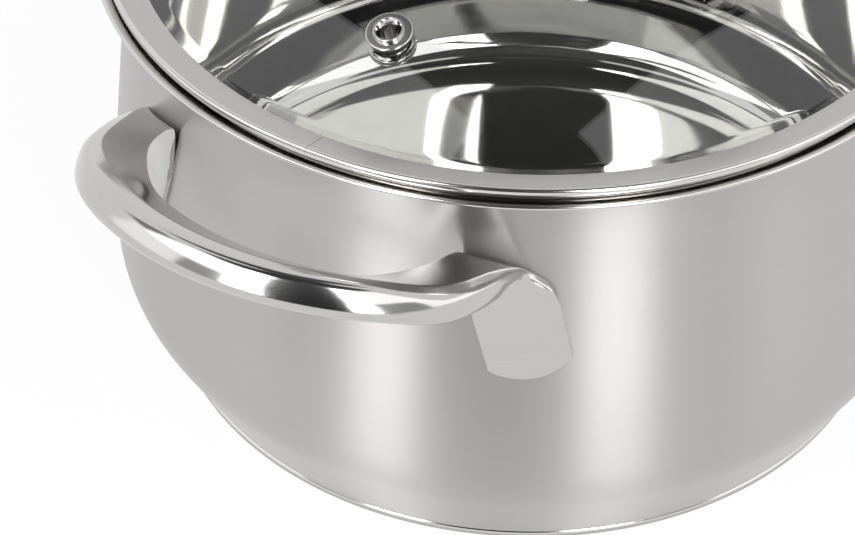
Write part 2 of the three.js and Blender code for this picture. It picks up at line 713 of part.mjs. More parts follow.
// A foot of the lid handle lies along the dome, over its pad.
function footStation({ radius, depth, squareness, bow }) {
  const lean = Math.asin(radius / DOME_RADIUS);
  const outward = new THREE.Vector3(Math.sin(lean), 0, Math.cos(lean));
  const along = new THREE.Vector3(Math.cos(lean), 0, -Math.sin(lean));
  const middle = outward.clone().multiplyScalar(DOME_RADIUS + FOOT_BOTTOM);
  middle.z += DOME_MIDDLE;
  return station({
    middle,
    across: new THREE.Vector3(0, 1, 0),
    out: outward.clone().negate(),
    width: GRIP_FOOT_WIDTH,
    belly: plateBelly({ width: GRIP_FOOT_WIDTH, depth, squareness }),
    bow: along.multiplyScalar(bow),
  });
}

// The bow of the lid handle stands up in a half circle: angle is 0 at its top, in degrees.
function bowStation(angle) {
  const turn = degToRad(angle);
  const radial = new THREE.Vector3(Math.sin(turn), 0, Math.cos(turn));
  const middle = radial.clone().multiplyScalar(GRIP_RADIUS);
  middle.z += DOME_TOP + GRIP_RISE - GRIP_RADIUS;
  return station({
    middle,
    across: new THREE.Vector3(0, 1, 0),
    out: radial.clone().negate(),
    width: GRIP_WIDTH,
    belly: plateBelly({ width: GRIP_WIDTH, depth: GRIP_DEPTH, fullness: GRIP_FULLNESS }),
  });
}

function lidHandle() {
  const tip = {
    radius: GRIP_TIP - GRIP_TIP_BOW,
    depth: GRIP_TIP_DEPTH,
    squareness: TONGUE_SQUARENESS,
    bow: GRIP_TIP_BOW,
  };
  const foot = { radius: GRIP_SCREW, depth: GRIP_FOOT_DEPTH, squareness: GRIP_FOOT_SQUARENESS, bow: 0 };
  const half = [footStation(tip), footStation(foot), ...steps(GRIP_SWEEP, 0, BOW_STEPS).map(bowStation)];
  const place = onDome(GRIP_SCREW);
  const hole = disc(SCREW_RADIUS + GAP, 0, SCREW_TIP + GAP).applyMatrix4(place.matrix);
  const otherHole = hole.clone().rotateZ(Math.PI);
  return piece('lid_handle', cut(loft(half, 'x'), hole, otherHole), polished);
}

function lid() {
  const vent = onDome(VENT_RADIUS);
  vent.add(ventEyelet(), ventGasket(), ventWasher());
  const grip = new THREE.Group();
  grip.rotation.z = degToRad(GRIP_TURN);
  const back = new THREE.Group();
  back.rotation.z = Math.PI;
  back.add(screwStack('back'));
  grip.add(lidHandle(), screwStack('front'), back);
  const group = new THREE.Group();
  group.rotation.z = Math.PI + degToRad(LID_TURN);
  group.add(lidGlass(), lidBand(), vent, grip);
  return group;
}

const leftHandle = sideHandle('handle_left');
leftHandle.rotation.z = Math.PI;

const pot = new THREE.Group();
pot.add(potBody(), baseCore(), baseCap(), leftHandle, sideHandle('handle_right'), lid());

export default pot;
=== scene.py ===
# %% [markdown]
# A stainless steel cooking pot with two cast loop handles and a domed glass lid.
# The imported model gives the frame: where each piece lies and which body carries it. Its solids are
# faceted, so this lesson makes every piece again as a fine mesh from the same sizes, and then
# spends most of its care on the finishes: steel is nearly all reflection, so the grind of each
# surface and the studio around it make the picture.

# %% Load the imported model
import math

import bmesh
import bpy
import numpy as np
from mathutils import Matrix, Vector


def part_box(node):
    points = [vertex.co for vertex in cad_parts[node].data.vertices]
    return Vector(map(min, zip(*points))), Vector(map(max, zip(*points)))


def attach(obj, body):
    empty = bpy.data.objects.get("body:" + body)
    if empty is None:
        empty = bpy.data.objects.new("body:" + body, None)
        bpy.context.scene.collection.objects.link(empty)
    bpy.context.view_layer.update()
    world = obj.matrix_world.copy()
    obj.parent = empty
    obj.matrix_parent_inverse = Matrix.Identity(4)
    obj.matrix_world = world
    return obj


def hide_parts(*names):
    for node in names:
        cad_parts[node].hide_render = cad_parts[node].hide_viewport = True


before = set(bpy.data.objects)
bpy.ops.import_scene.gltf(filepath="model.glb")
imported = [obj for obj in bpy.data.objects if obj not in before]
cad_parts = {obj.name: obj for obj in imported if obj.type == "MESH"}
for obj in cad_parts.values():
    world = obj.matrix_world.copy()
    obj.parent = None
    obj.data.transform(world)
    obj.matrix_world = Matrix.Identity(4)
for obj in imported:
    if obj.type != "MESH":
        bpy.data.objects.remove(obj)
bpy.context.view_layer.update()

# %% [markdown]
# Sizes are written in millimetres, as a maker would measure them, and turned to metres when a
# mesh is made. A mesh is built from plain lists of points and faces: that keeps every edge where
# the sizes put it, where a modelling tool would leave it to the eye. Shading is smooth, apart
# from edges that bend more than a set angle, which stay crisp as on pressed sheet.

# %% Make a mesh piece
MM = 0.001
MERGE = 0.002 * MM  # closer points become one
CRISP = math.radians(35)  # an edge that bends more stays crisp


def make_piece(name, points, faces, finishes, face_finish=None):
    mesh = bpy.data.meshes.new(name)
    mesh.from_pydata((np.asarray(points, float) * MM).tolist(), [], faces)
    for finish in finishes:
        mesh.materials.append(finish)
    if face_finish is not None:
        mesh.polygons.foreach_set("material_index", face_finish)
    shell = bmesh.new()
    shell.from_mesh(mesh)
    bmesh.ops.remove_doubles(shell, verts=shell.verts, dist=MERGE)
    bmesh.ops.dissolve_degenerate(shell, edges=shell.edges, dist=MERGE)
    bmesh.ops.recalc_face_normals(shell, faces=shell.faces)
    shell.to_mesh(mesh)
    shell.free()
    mesh.shade_smooth()
    mesh.set_sharp_from_angle(angle=CRISP)
    piece = bpy.data.objects.new(name, mesh)
    bpy.context.scene.collection.objects.link(piece)
    return piece


# %% [markdown]
# Every piece belongs to one of two bodies, the pot or the lid that lifts off it. One call says
# which body carries a piece and which solid it stands for.

# %% Hang a piece on its body
def dress(piece, body, slot, *nodes):
    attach(piece, body)
    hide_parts(*nodes)
    print(f"{piece.name}: {len(piece.data.polygons)} faces, stands for {', '.join(nodes)}")


# %% [markdown]
# Most pieces of a pot are turned: spun, drawn or pressed about one axis. A turned mesh needs only
# its profile. The profile comes in stretches, each with its own finish, so that one sheet can be
# satin outside and mirror bright inside. A part turn leaves a slit, closed at both ends.

# %% Turn a profile
SIDES = 240


def turned(name, stretches, sides=SIDES, start=0, sweep=360):
    profile = np.array([point for line, _ in stretches for point in line], float)
    finish_at = [i for i, (line, _) in enumerate(stretches) for _ in line]
    whole = sweep == 360
    angles = np.radians(start + sweep * np.arange(sides + (not whole)) / sides)
    points, rings = [], []
    for radius, height in profile:
        here = angles if radius > 0 else angles[:1]
        rings.append(len(points) + np.arange(len(here)))
        points += [(radius * math.cos(a), radius * math.sin(a), height) for a in here]
    open_ended = profile[0][0] == 0 and profile[-1][0] == 0
    faces, face_finish = [], []
    for i in range(len(rings) - open_ended):
        low, high = rings[i], rings[(i + 1) % len(rings)]
        for k in range(sides):
            after = (k + 1) % len(angles)
            face = [low[k % len(low)], low[after % len(low)], high[after % len(high)], high[k % len(high)]]
            faces.append(list(dict.fromkeys(int(v) for v in face)))
            face_finish.append(finish_at[(i + 1) % len(rings)])
    if not whole:
        faces += [[int(ring[end]) for ring in rings] for end in (0, -1)]
        face_finish += [finish_at[0], finish_at[0]]
    return make_piece(name, points, faces, [finish for _, finish in stretches], face_finish)


# %% [markdown]
# Real edges are never knife sharp: a cut sheet is deburred and a pressed one turns round a radius.
# Each corner of a profile is therefore given with its rounding, which this draws as an arc.

# %% Round the corners of a profile
ARC_STEP = 12  # degrees from point to point


def rounded(corners, closed=False):
    line = []
    for i, (x, y, radius) in enumerate(corners):
        corner = np.array((x, y), float)
        if radius == 0 or (not closed and i in (0, len(corners) - 1)):
            line.append((x, y))
            continue
        before = np.array(corners[i - 1][:2]) - corner
        after = np.array(corners[(i + 1) % len(corners)][:2]) - corner
        before /= np.linalg.norm(before)
        after /= np.linalg.norm(after)
        half = math.acos(np.clip(before @ after, -1, 1)) / 2
        middle = corner + (before + after) / np.linalg.norm(before + after) * radius / math.sin(half)
        first, last = (corner + way * radius / math.tan(half) - middle for way in (before, after))
        begin = math.atan2(first[1], first[0])
        turn = (math.atan2(last[1], last[0]) - begin + math.pi) % (2 * math.pi) - math.pi
        for angle in np.linspace(begin, begin + turn, 2 + int(abs(math.degrees(turn)) / ARC_STEP)):
            line.append((middle[0] + radius * math.cos(angle), middle[1] + radius * math.sin(angle)))
    return line


# %% [markdown]
# A finish is a small network of nodes. Colours are written as the sRGB hex values that a picture
# of the object would show, and turned to the linear values that a shader works with. One function
# adds any node: its settings, the plain values of its sockets and the links that feed it.

# %% Start a material
def colour(code):
    shares = [int(code[i:i + 2], 16) / 255 for i in (1, 3, 5)]
    return tuple(s / 12.92 if s <= 0.04045 else ((s + 0.055) / 1.055) ** 2.4 for s in shares) + (1,)


def add(tree, kind, values=None, links=None, **settings):
    node = tree.nodes.new("ShaderNode" + kind)
    for name, value in settings.items():
        setattr(node, name, value)
    for name, value in (values or {}).items():
        node.inputs[name].default_value = value
    for name, source in (links or {}).items():
        tree.links.new(source, node.inputs[name])
    return node


def new_material(name):
    material = bpy.data.materials.new(name)
    material.use_nodes = True
    material.node_tree.nodes.clear()
    return material, material.node_tree


def finish_with(tree, shader):
    add(tree, "OutputMaterial", links={"Surface": shader.outputs[0]})


def finished(material, values, links):
    tree = material.node_tree
    finish_with(tree, add(tree, "BsdfPrincipled", values, links))
    return material


# %% [markdown]
# Grinding, brushing and spinning all leave fine lines that run round the axis. A noise that is
# stretched along the surface and squeezed across it gives them: its scale is one over a line's
# length, and one over the spacing of the lines. Squeezed along Z, as here, it suits a wall. The
# noise then blends two shades of the metal, or sets how rough it is.

# %% Lines left by a grind
NOISE_LOW = 0.25  # nearly all of a noise lies between these two
NOISE_HIGH = 0.75


def grind_lines(tree, length, spacing):
    place = add(tree, "TexCoord").outputs["Object"]
    stretch = (1 / (length * MM), 1 / (length * MM), 1 / (spacing * MM))
    scaled = add(tree, "Mapping", {"Scale": stretch}, {"Vector": place}).outputs[0]
    noise = add(tree, "TexNoise", {"Scale": 1, "Detail": 3, "Roughness": 0.6}, {"Vector": scaled})
    return noise.outputs["Fac"]


def ranged(tree, source, low, high):
    values = {"From Min": NOISE_LOW, "From Max": NOISE_HIGH, "To Min": low, "To Max": high}
    return add(tree, "MapRange", values, {"Value": source}).outputs["Result"]


def tinted(tree, source, dark, light):
    share = ranged(tree, source, 0, 1)
    mix = add(tree, "Mix", {"A": colour(dark), "B": colour(light)}, {"Factor": share}, data_type="RGBA")
    return mix.outputs["Result"]


# %% [markdown]
# The outside of the wall is stainless steel with a satin grind: a belt runs round the spinning
# pot and leaves very fine level lines. Along the lines the steel is nearly smooth, across them it
# is rough, so every reflection is drawn out up and down into soft vertical bands. An anisotropic
# metal with its tangent round the axis does that. The belt's lines are a few hundredths of a
# millimetre apart, too fine for the picture, so they are drawn coarser.

# %% Satin stainless steel
def satin_stainless():
    material, tree = new_material("satin_ground_stainless")
    lines = grind_lines(tree, length=30, spacing=0.35)
    cloudy = grind_lines(tree, length=60, spacing=25)
    tangent = add(tree, "Tangent", direction_type="RADIAL", axis="Z")
    bump = add(tree, "Bump", {"Strength": 0.02, "Distance": 0.02 * MM}, {"Height": lines})
    return finished(material, {"Metallic": 1, "Anisotropic": 0.97, "Anisotropic Rotation": 0.25}, {
        "Base Color": tinted(tree, lines, "#bab7b7", "#bdbaba"),
        "Roughness": ranged(tree, cloudy, 0.35, 0.37),
        "Tangent": tangent.outputs[0],
        "Normal": bump.outputs[0],
    })


satin_steel = satin_stainless()
print("made", satin_steel.name)

# %% [markdown]
# The inside of the pot, its lip and the rolled edge of the lid are buffed with soft wheels until
# they reflect like a mirror. A hand-held wheel never leaves a true surface: the faint long waves
# that it leaves bend the reflections a little.

# %% Mirror-buffed stainless steel
HAZE = (0.93, 1.07)  # roughness where the wheel worked best and least, as a share


def buffed_stainless(name, dark, light, roughness, wave, height):
    material, tree = new_material(name)
    place = add(tree, "TexCoord").outputs["Object"]
    waves = add(tree, "TexNoise", {"Scale": 1 / (wave * MM), "Detail": 1}, {"Vector": place})
    haze = grind_lines(tree, length=25, spacing=1.2)
    bump = add(tree, "Bump", {"Strength": 1, "Distance": height * MM}, {"Height": waves.outputs["Fac"]})
    return finished(material, {"Metallic": 1}, {
        "Base Color": tinted(tree, haze, dark, light),
        "Roughness": ranged(tree, haze, HAZE[0] * roughness, HAZE[1] * roughness),
        "Normal": bump.outputs[0],
    })


mirror_steel = buffed_stainless(
    "mirror_buffed_stainless", "#cccbc8", "#d2d1ce", roughness=0.06, wave=35, height=0.03
)
edge_steel = buffed_stainless(
    "buffed_edge_stainless", "#cfcdcb", "#d6d4d2", roughness=0.14, wave=20, height=0.01
)
print("made", mirror_steel.name, "and", edge_steel.name)

# %% [markdown]
# The pot's body is drawn from one sheet: a flat floor, a rounded corner, a belly that leans in
# towards the neck, and a lip that flares out so that the pot pours cleanly. Its wall follows three
# curves that join without a kink: a cone over the base, an arc and a long easy S.

# %% Shape of the wall
POT_HEIGHT = 1000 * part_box("pot_body")[1].z
LIP_RADIUS = 1000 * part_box("pot_body")[1].x
BODY_BOTTOM = 1000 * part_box("pot_body")[0].z
WALL = 1.0
LIP_REACH = 8.1
LIP_RISE = 4.5
BELLY_BULGE = 5.0
BELLY_HEIGHT = 33.5
CORNER_RADIUS = 26.0
CORNER_TURN = math.radians(29)
BORE_RADIUS = LIP_RADIUS - LIP_REACH
NECK_RADIUS = BORE_RADIUS + WALL
NECK_HEIGHT = POT_HEIGHT - LIP_RISE
BELLY_RADIUS = NECK_RADIUS + BELLY_BULGE


def wall_radius(z):
    z = np.asarray(z, float)
    share = np.clip((z - BELLY_HEIGHT) / (NECK_HEIGHT - BELLY_HEIGHT), 0, 1)
    side = BELLY_RADIUS - BELLY_BULGE * share ** 2 * (3 - 2 * share)
    drop = np.clip(BELLY_HEIGHT - z, 0, None)
    arc_drop = CORNER_RADIUS * math.sin(CORNER_TURN)
    arc = np.sqrt(CORNER_RADIUS ** 2 - np.minimum(drop, arc_drop) ** 2) - CORNER_RADIUS
    cone = np.clip(drop - arc_drop, 0, None) * math.tan(CORNER_TURN)
    return side + arc - cone


print("bore", round(2 * BORE_RADIUS, 1), "mm, belly", round(2 * BELLY_RADIUS, 1), "mm")

# %% [markdown]
# The shell is one closed profile: out under the floor, up the wall, round the lip's edge and back
# down the inside. The floor meets the wall in a rounded corner, which gathers the light inside.
# The lip still rises at its edge, so a thin dark gap shows between it and the lid.

# %% Pot shell
FLOOR = BODY_BOTTOM + WALL
FLOOR_ROUNDING = 11.0
FLOOR_CORNER_TOP = 19.0
SIDE_POINTS = 70
LIP_POINTS = 14
LIP_EDGE_POINTS = 9
LIP_TURN = math.radians(50)  # how far the lip turns out
LIP_SETBACK = 0.62  # room for the rounding of its edge
LIP_END = LIP_RADIUS - LIP_SETBACK


def lip_line(under):
    reach = (LIP_END - BORE_RADIUS) / (1 - math.cos(LIP_TURN))
    rise = LIP_RISE / math.sin(LIP_TURN)
    line = []
    for angle in np.linspace(0, LIP_TURN, LIP_POINTS):
        slope = np.array((rise * math.cos(angle), reach * math.sin(angle)))
        slope *= (WALL if under else 0) / np.linalg.norm(slope)
        radius = BORE_RADIUS + reach * (1 - math.cos(angle))
        line.append((radius + slope[0], NECK_HEIGHT + rise * math.sin(angle) - slope[1]))
    return line


def lip_edge():
    lower, upper = (np.array(lip_line(under)[-1]) for under in (True, False))
    middle, half = (lower + upper) / 2, (lower - upper) / 2
    aside = np.array((-half[1], half[0]))
    turns = np.linspace(0, math.pi, LIP_EDGE_POINTS)
    return [middle + half * math.cos(a) + aside * math.sin(a) for a in turns]


def pot_shell():
    rising = np.linspace(BODY_BOTTOM, NECK_HEIGHT, SIDE_POINTS)[:-1]
    falling = np.linspace(NECK_HEIGHT, FLOOR_CORNER_TOP, SIDE_POINTS)[1:]
    outside = [(wall_radius(z), z) for z in rising]
    inside = [(wall_radius(z) - WALL, z) for z in falling]
    corner = rounded([
        (*inside[-1], 0),
        (wall_radius(FLOOR) - WALL, FLOOR, FLOOR_ROUNDING),
        (0, FLOOR, 0),
    ])
    return turned("pot_shell", [
        ([(0, BODY_BOTTOM), *outside, *lip_line(under=True)[:-1]], satin_steel),
        ([*lip_edge(), *lip_line(under=False)[-2::-1]], edge_steel),
        ([*inside, *corner[1:]], mirror_steel),
    ])


dress(pot_shell(), "pot", "satin_steel", "pot_body")

# %% [markdown]
# Under the floor, an aluminium disc spreads the heat and a steel cup closes it in: a capsule base.
# The cup is turned flat underneath, so its fine grooves follow the radius. The disc is shut away,
# so its plain solid stays and only gets its metal.

# %% Steel and aluminium of the base
GROOVE_SPACING = 0.8


def spun_stainless_with_painted_shade():
    material, tree = new_material("spun_stainless_with_painted_shade")
    place = add(tree, "TexCoord").outputs["Object"]
    flat = add(tree, "VectorMath", {1: (1, 1, 0)}, {0: place}, operation="MULTIPLY").outputs[0]
    radius = add(tree, "VectorMath", links={0: flat}, operation="LENGTH").outputs["Value"]
    values = {"Scale": 1 / (GROOVE_SPACING * MM), "Detail": 2}
    grooves = add(tree, "TexNoise", values, {"W": radius}, noise_dimensions="1D").outputs["Fac"]
    bump = add(tree, "Bump", {"Strength": 0.25, "Distance": 0.02 * MM}, {"Height": grooves})
    tangent = add(tree, "Tangent", direction_type="RADIAL", axis="Z")
    return finished(material, {"Metallic": 1, "Anisotropic": 0.6, "Anisotropic Rotation": 0.25}, {
        # The two shades are darker than the wall's steel. This is partly the steel's own tone and partly
        # painted shade for the shadowed floor that the cup's low edge reflects.
        "Base Color": tinted(tree, grooves, "#aeacab", "#b7b5b4"),
        "Roughness": ranged(tree, grooves, 0.3, 0.4),
        "Tangent": tangent.outputs[0],
        "Normal": bump.outputs[0],
    })


def brushed_metal(name, length, spacing, shades, roughness):
    material, tree = new_material(name)
    lines = grind_lines(tree, length, spacing)
    return finished(material, {"Metallic": 1}, {
        "Base Color": tinted(tree, lines, *shades),
        "Roughness": ranged(tree, lines, *roughness),
    })


spun_steel_painted_shade = spun_stainless_with_painted_shade()
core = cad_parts["base_core"]
core.data.materials.clear()
core.data.materials.append(brushed_metal(
    "rolled_aluminium", length=40, spacing=0.5, shades=("#c4c6c9", "#d0d2d4"), roughness=(0.42, 0.55)
))
print("made", spun_steel_painted_shade.name, "and", core.data.materials[0].name)

# %% [markdown]
# The cup is pressed on hot, and its side is ground flush with the wall. All that shows of it from
# the side is a low plain edge under a bright rounded shoulder, with a fine groove over that.

# %% Base cup
BASE_SHEET = 0.8
BASE_ROUNDING = 0.5
CUP_GAP = 0.02  # under the pot's floor
CUP_TOP = BODY_BOTTOM - CUP_GAP
CUP_SIDE_POINTS = 6
EDGE_HEIGHT = 1.6  # plain edge under the bright shoulder
EDGE_STAND = 0.55  # how far that edge stands out from the wall above it
SHOULDER_START = EDGE_HEIGHT - 0.4
SHOULDER_ROUNDING = 0.45
SHOULDER_TOP = 2.2
GROOVE_DEPTH = 0.08
GROOVE_DROP = 0.2
GROOVE_ROUNDING = 0.15
GROOVE_TOP = SHOULDER_TOP + 0.3
SIDE_START = SHOULDER_TOP + 0.5


def base_cup():
    edge = float(wall_radius(EDGE_HEIGHT)) + EDGE_STAND
    under = rounded([(0, 0, 0), (edge, 0, BASE_ROUNDING), (edge, SHOULDER_START, 0)])
    shoulder = rounded([
        (edge, SHOULDER_START, 0),
        (edge, EDGE_HEIGHT, SHOULDER_ROUNDING),
        (wall_radius(SHOULDER_TOP) - GROOVE_DEPTH, SHOULDER_TOP - GROOVE_DROP, GROOVE_ROUNDING),
        (wall_radius(GROOVE_TOP), GROOVE_TOP, 0),
    ])[1:]
    side = [(wall_radius(z), z) for z in np.linspace(SIDE_START, CUP_TOP, CUP_SIDE_POINTS)]
    inner = [
        (wall_radius(CUP_TOP) - BASE_SHEET, CUP_TOP),
        (wall_radius(BASE_SHEET) - BASE_SHEET, BASE_SHEET),
        (0, BASE_SHEET),
    ]
    stretches = [(under, spun_steel_painted_shade), (shoulder, edge_steel), (side, satin_steel), (inner, spun_steel_painted_shade)]
    return turned("base_cup", stretches)


dress(base_cup(), "pot", "base_steel", "base_cap")

# %% [markdown]
# The side handles are castings: a bar bent in a loop, flat on top and full underneath, whose legs
# turn over and run out into broad tongues that are spot welded to the wall. A section that changes
# all along a bent path is a loft: a few rings are given where the bar leaves the wall, turns
# over and bends round, and a smooth curve runs through each ring's points to the next ring.

# %% Rings of a casting
FLAT_POINTS = 15
BELLY_POINTS = 61
LARGEST_CUT = 0.3  # share of a line that may be left off at each end


def spaced(line, count, cut=0):
    steps = np.linalg.norm(np.diff(line, axis=0), axis=1)
    measured = np.concatenate(([0], np.cumsum(steps)))
    cut = min(cut, LARGEST_CUT * measured[-1])
    distances = np.linspace(cut, measured[-1] - cut, count)
    return np.column_stack([np.interp(distances, measured, column) for column in np.transpose(line)])


def plate_belly(width, depth, fullness=0, squareness=1):
    turn = math.pi * (1 - np.cos(np.linspace(0, math.pi, BELLY_POINTS))) / 2
    swell = 1 + fullness * np.sin(turn)
    line = np.column_stack((width / 2 * np.cos(turn) * swell, -depth * np.sin(turn) ** squareness))
    return spaced(line, BELLY_POINTS)


def ring(middle, across, out, width, belly, bow=None):
    flat = np.column_stack((np.linspace(-width / 2, width / 2, FLAT_POINTS), np.zeros(FLAT_POINTS)))
    x, y = np.vstack((flat, belly[1:-1])).T
    points = np.asarray(middle) + np.outer(x, across) + np.outer(y, out)
    if bow is not None:
        points += np.outer(1 - (2 * x / width) ** 2, bow)
    return points


def curve_through(keys, per_span):
    keys = [2 * keys[0] - keys[1], *keys, 2 * keys[-1] - keys[-2]]
    rings = []
    for a, b, c, d in zip(keys, keys[1:], keys[2:], keys[3:]):
        first, span, last = (
            np.sqrt(np.linalg.norm(q - p, axis=1, keepdims=True)) for p, q in ((a, b), (b, c), (c, d))
        )
        leave = span * ((b - a) / first - (c - a) / (first + span)) + (c - b)
        arrive = span * ((d - c) / last - (d - b) / (span + last)) + (c - b)
        for t in np.arange(per_span) / per_span:
            rings.append(
                (2 * t ** 3 - 3 * t ** 2 + 1) * b + (t ** 3 - 2 * t ** 2 + t) * leave
                + (3 * t ** 2 - 2 * t ** 3) * c + (t ** 3 - t ** 2) * arrive
            )
    return [*rings, keys[-2]]


# %% [markdown]
# The two long edges of a casting are eased by the polishing wheel. Each ring is laid out again
# with a small rounding at both edges, and with as many points on its flat as on its belly, so
# that the ends can be closed by a neat strip of faces.

# %% Ease the edges and skin the rings
SIDE_COUNT = 41
FROM_MIDDLE = (0.5, 0.67, 0.83)  # shares of a rounding: a ring starts in the middle of one
TO_MIDDLE = (0.17, 0.33)


def corner_arc(start, corner, end, shares):
    return [(1 - t) ** 2 * start + 2 * t * (1 - t) * corner + t ** 2 * end for t in shares]


def eased(points, ease):
    corners = (points[0], points[FLAT_POINTS - 1])
    belly = np.vstack((points[FLAT_POINTS - 1:], points[:1]))
    sides = [spaced(line, SIDE_COUNT, ease) for line in (points[:FLAT_POINTS], belly)]
    ring_points = []
    for side, other in ((0, 1), (1, 0)):
        ring_points += corner_arc(sides[other][-1], corners[side], sides[side][0], FROM_MIDDLE)
        ring_points += list(sides[side])
        ring_points += corner_arc(sides[side][-1], corners[other], sides[other][0], TO_MIDDLE)
    return np.array(ring_points)


def skinned(name, rings, finish):
    size = len(rings[0])
    half = size // 2
    faces = []
    for r in range(len(rings) - 1):
        for i in range(size):
            a, b = r * size + i, r * size + (i + 1) % size
            faces.append((a, b, b + size, a + size))
    for start in (0, (len(rings) - 1) * size):
        faces.append((start, start + 1, start + size - 1))
        faces.append((start + half - 1, start + half, start + half + 1))
        for i in range(1, half - 1):
            faces.append((start + i, start + i + 1, start + size - i - 1, start + size - i))
    return make_piece(name, np.vstack(rings), faces, [finish])


# %% [markdown]
# Cast steel is buffed bright, but softer wheels follow its curves, so the reflections stay a
# little softer than in the pressed sheet and wander along the bar.

# %% Polished cast steel
cast_steel = buffed_stainless(
    "polished_cast_stainless", "#bfbebd", "#c5c4c3", roughness=0.13, wave=18, height=0.01
)
print("made", cast_steel.name)

# %% [markdown]
# The rings of a side handle, from a tongue's tip up to the middle of the bar. A ring's flat is
# turned by three angles: the way that its outer edge faces in plan, the lift of that edge, and the
# pitch that turns the flat from facing the wall to facing up. The other half is its mirror image.

# %% Rings of a side handle
GAP = 0.3
HANDLE_DROP = 20.4
HANDLE_SPREAD = 47.8
BEND_LENGTH = 12.6
BEND_SPLAY = 3.2
TONGUE_LENGTH = 16.0
TONGUE_SPLAY = 4.2
TONGUE_BOW = 4.4
TONGUE_THICKNESS = 1.6
TONGUE_SUNK = 0.8
TONGUE_WIDTH = 20.4
TONGUE_SQUARENESS = 0.16
SHOULDER_WIDTH = 19.2
SHOULDER_THICKNESS = 2.0
SHOULDER_SQUARENESS = 0.2
BEND_WIDTH = 15.5
BEND_THICKNESS = 2.8
BEND_SQUARENESS = 0.3
KNEE_FLAT = 13.4
KNEE_SIZE = 0.3  # share of the bar's full belly
ROOT_FLAT = 11.6
ROOT_SIZE = 0.62
TO_WALL = 0  # pitch of a flat that faces the wall
UPWARD = 90  # pitch of a flat that faces up
LEG_RINGS = (  # splay, sink and stand off the wall, then turn, lean and pitch in degrees
    (2.0, 7.6, -TONGUE_SUNK, 0, 7, 8),  # shoulder
    (-0.8, 2.2, 0, 0, -6, 35),  # bend
    (-1.3, -0.7, 1.2, -7, -9, 72),  # knee
    (-2.2, -3.2, 5.6, -18, -4, UPWARD),  # root
)
LOOP_TILT = math.radians(19)
LOOP_RADIUS = HANDLE_SPREAD + 2.7
LOOP_INSET = 16.9  # of the loop's middle, in from the neck
LOOP_SINK = 3.4  # of the loop's middle, under the handle's drop
BAR_FLAT = 11.3
BAR_CORNERS = (  # out from the flat's outer edge, off the flat, rounding
    (4.3, -1.9, 2.5),  # brow
    (4.9, -5.4, 8.0),  # cheek
    (4.1, -10.2, 2.4),  # heel
)
BAR_KEEL = (-8.0, 5.0)  # under the middle of the flat, rounding


def handle_ring(middle, facing, lean, pitch, width, belly, bow=0):
    way, slope, over = (math.radians(a) for a in (facing, lean, pitch))
    up = np.array((0, 0, 1.0))
    aside = np.array((math.cos(way), math.sin(way), 0))
    across = aside * math.cos(slope) + up * math.sin(slope)
    upright = up * math.cos(slope) - aside * math.sin(slope)
    out = np.cross(upright, across) * math.cos(over) + upright * math.sin(over)
    return ring(middle, across, out, width, belly, upright * bow)


def by_the_wall(spread, drop, stand):
    z = POT_HEIGHT - drop
    radius = float(wall_radius(z)) + GAP + stand
    turn = math.asin(spread / radius)
    return (radius * math.cos(turn), spread, z), math.degrees(turn) + 90


def tongue_ring(part, bow):
    spread = HANDLE_SPREAD + BEND_SPLAY + TONGUE_SPLAY * part
    drop = HANDLE_DROP + BEND_LENGTH + TONGUE_LENGTH * part
    middle, facing = by_the_wall(spread, drop, -TONGUE_SUNK)
    lean = math.degrees(math.atan2(TONGUE_SPLAY, TONGUE_LENGTH))
    belly = plate_belly(TONGUE_WIDTH, TONGUE_THICKNESS + TONGUE_SUNK, squareness=TONGUE_SQUARENESS)
    return handle_ring(middle, facing, lean, TO_WALL, TONGUE_WIDTH, belly, bow)


def bar_belly(flat, size):
    edge = flat / 2
    corners = [(edge + size * x, size * y, size * radius) for x, y, radius in BAR_CORNERS]
    keel = (0, size * BAR_KEEL[0], size * BAR_KEEL[1])
    line = rounded([(edge, 0, 0), *corners, keel, (-edge, 0, 0)])
    return spaced(line, BELLY_POINTS)


def leg_rings():
    bellies = (
        plate_belly(SHOULDER_WIDTH, SHOULDER_THICKNESS + TONGUE_SUNK, squareness=SHOULDER_SQUARENESS),
        plate_belly(BEND_WIDTH, BEND_THICKNESS, squareness=BEND_SQUARENESS),
        bar_belly(KNEE_FLAT, KNEE_SIZE),
        bar_belly(ROOT_FLAT, ROOT_SIZE),
    )
    flats = (SHOULDER_WIDTH, BEND_WIDTH, KNEE_FLAT, ROOT_FLAT)
    rings = []
    for (splay, sink, stand, turn, lean, pitch), flat, belly in zip(LEG_RINGS, flats, bellies):
        middle, facing = by_the_wall(HANDLE_SPREAD + splay, HANDLE_DROP + sink, stand)
        rings.append(handle_ring(middle, facing + turn, lean, pitch, flat, belly))
    return rings


def bar_ring(angle, lean, lift, size):
    turn = math.radians(angle)
    out = LOOP_RADIUS * math.cos(turn)
    middle = (
        NECK_RADIUS - LOOP_INSET + out * math.cos(LOOP_TILT),
        LOOP_RADIUS * math.sin(turn),
        POT_HEIGHT - HANDLE_DROP - LOOP_SINK + lift + out * math.sin(LOOP_TILT),
    )
    facing = math.degrees(math.atan2(math.cos(LOOP_TILT) * math.sin(turn), math.cos(turn)))
    return handle_ring(middle, facing, lean, UPWARD, BAR_FLAT, bar_belly(BAR_FLAT, size))


# %% [markdown]
# The weld lies flat on the wall, so every point that the loft puts inside the wall is moved out to
# its surface. The polishing wheel evens the bend: each pass draws a ring towards its neighbours.
# The ends of the tongues get a small bevel, like the ground edge of a plate.

# %% Side handles
HANDLE_RINGS_PER_SPAN = 12
HANDLE_EASE = 0.45
LEG_ANGLE = 57
LEG_LEAN = 15
LEG_LIFT = 1.2
LEG_SIZE = 0.85
BAR_LEAN = 39
BAR_KEYS = 4
WELD_CLEARANCE = 0.03
BENT = (26, 74)  # rings from a tongue's top to the bar
EVEN_PASSES = 70
BEVEL_WIDTH = 0.4
BEVEL_STEPS = 3
BEVEL_ANGLE = math.radians(50)


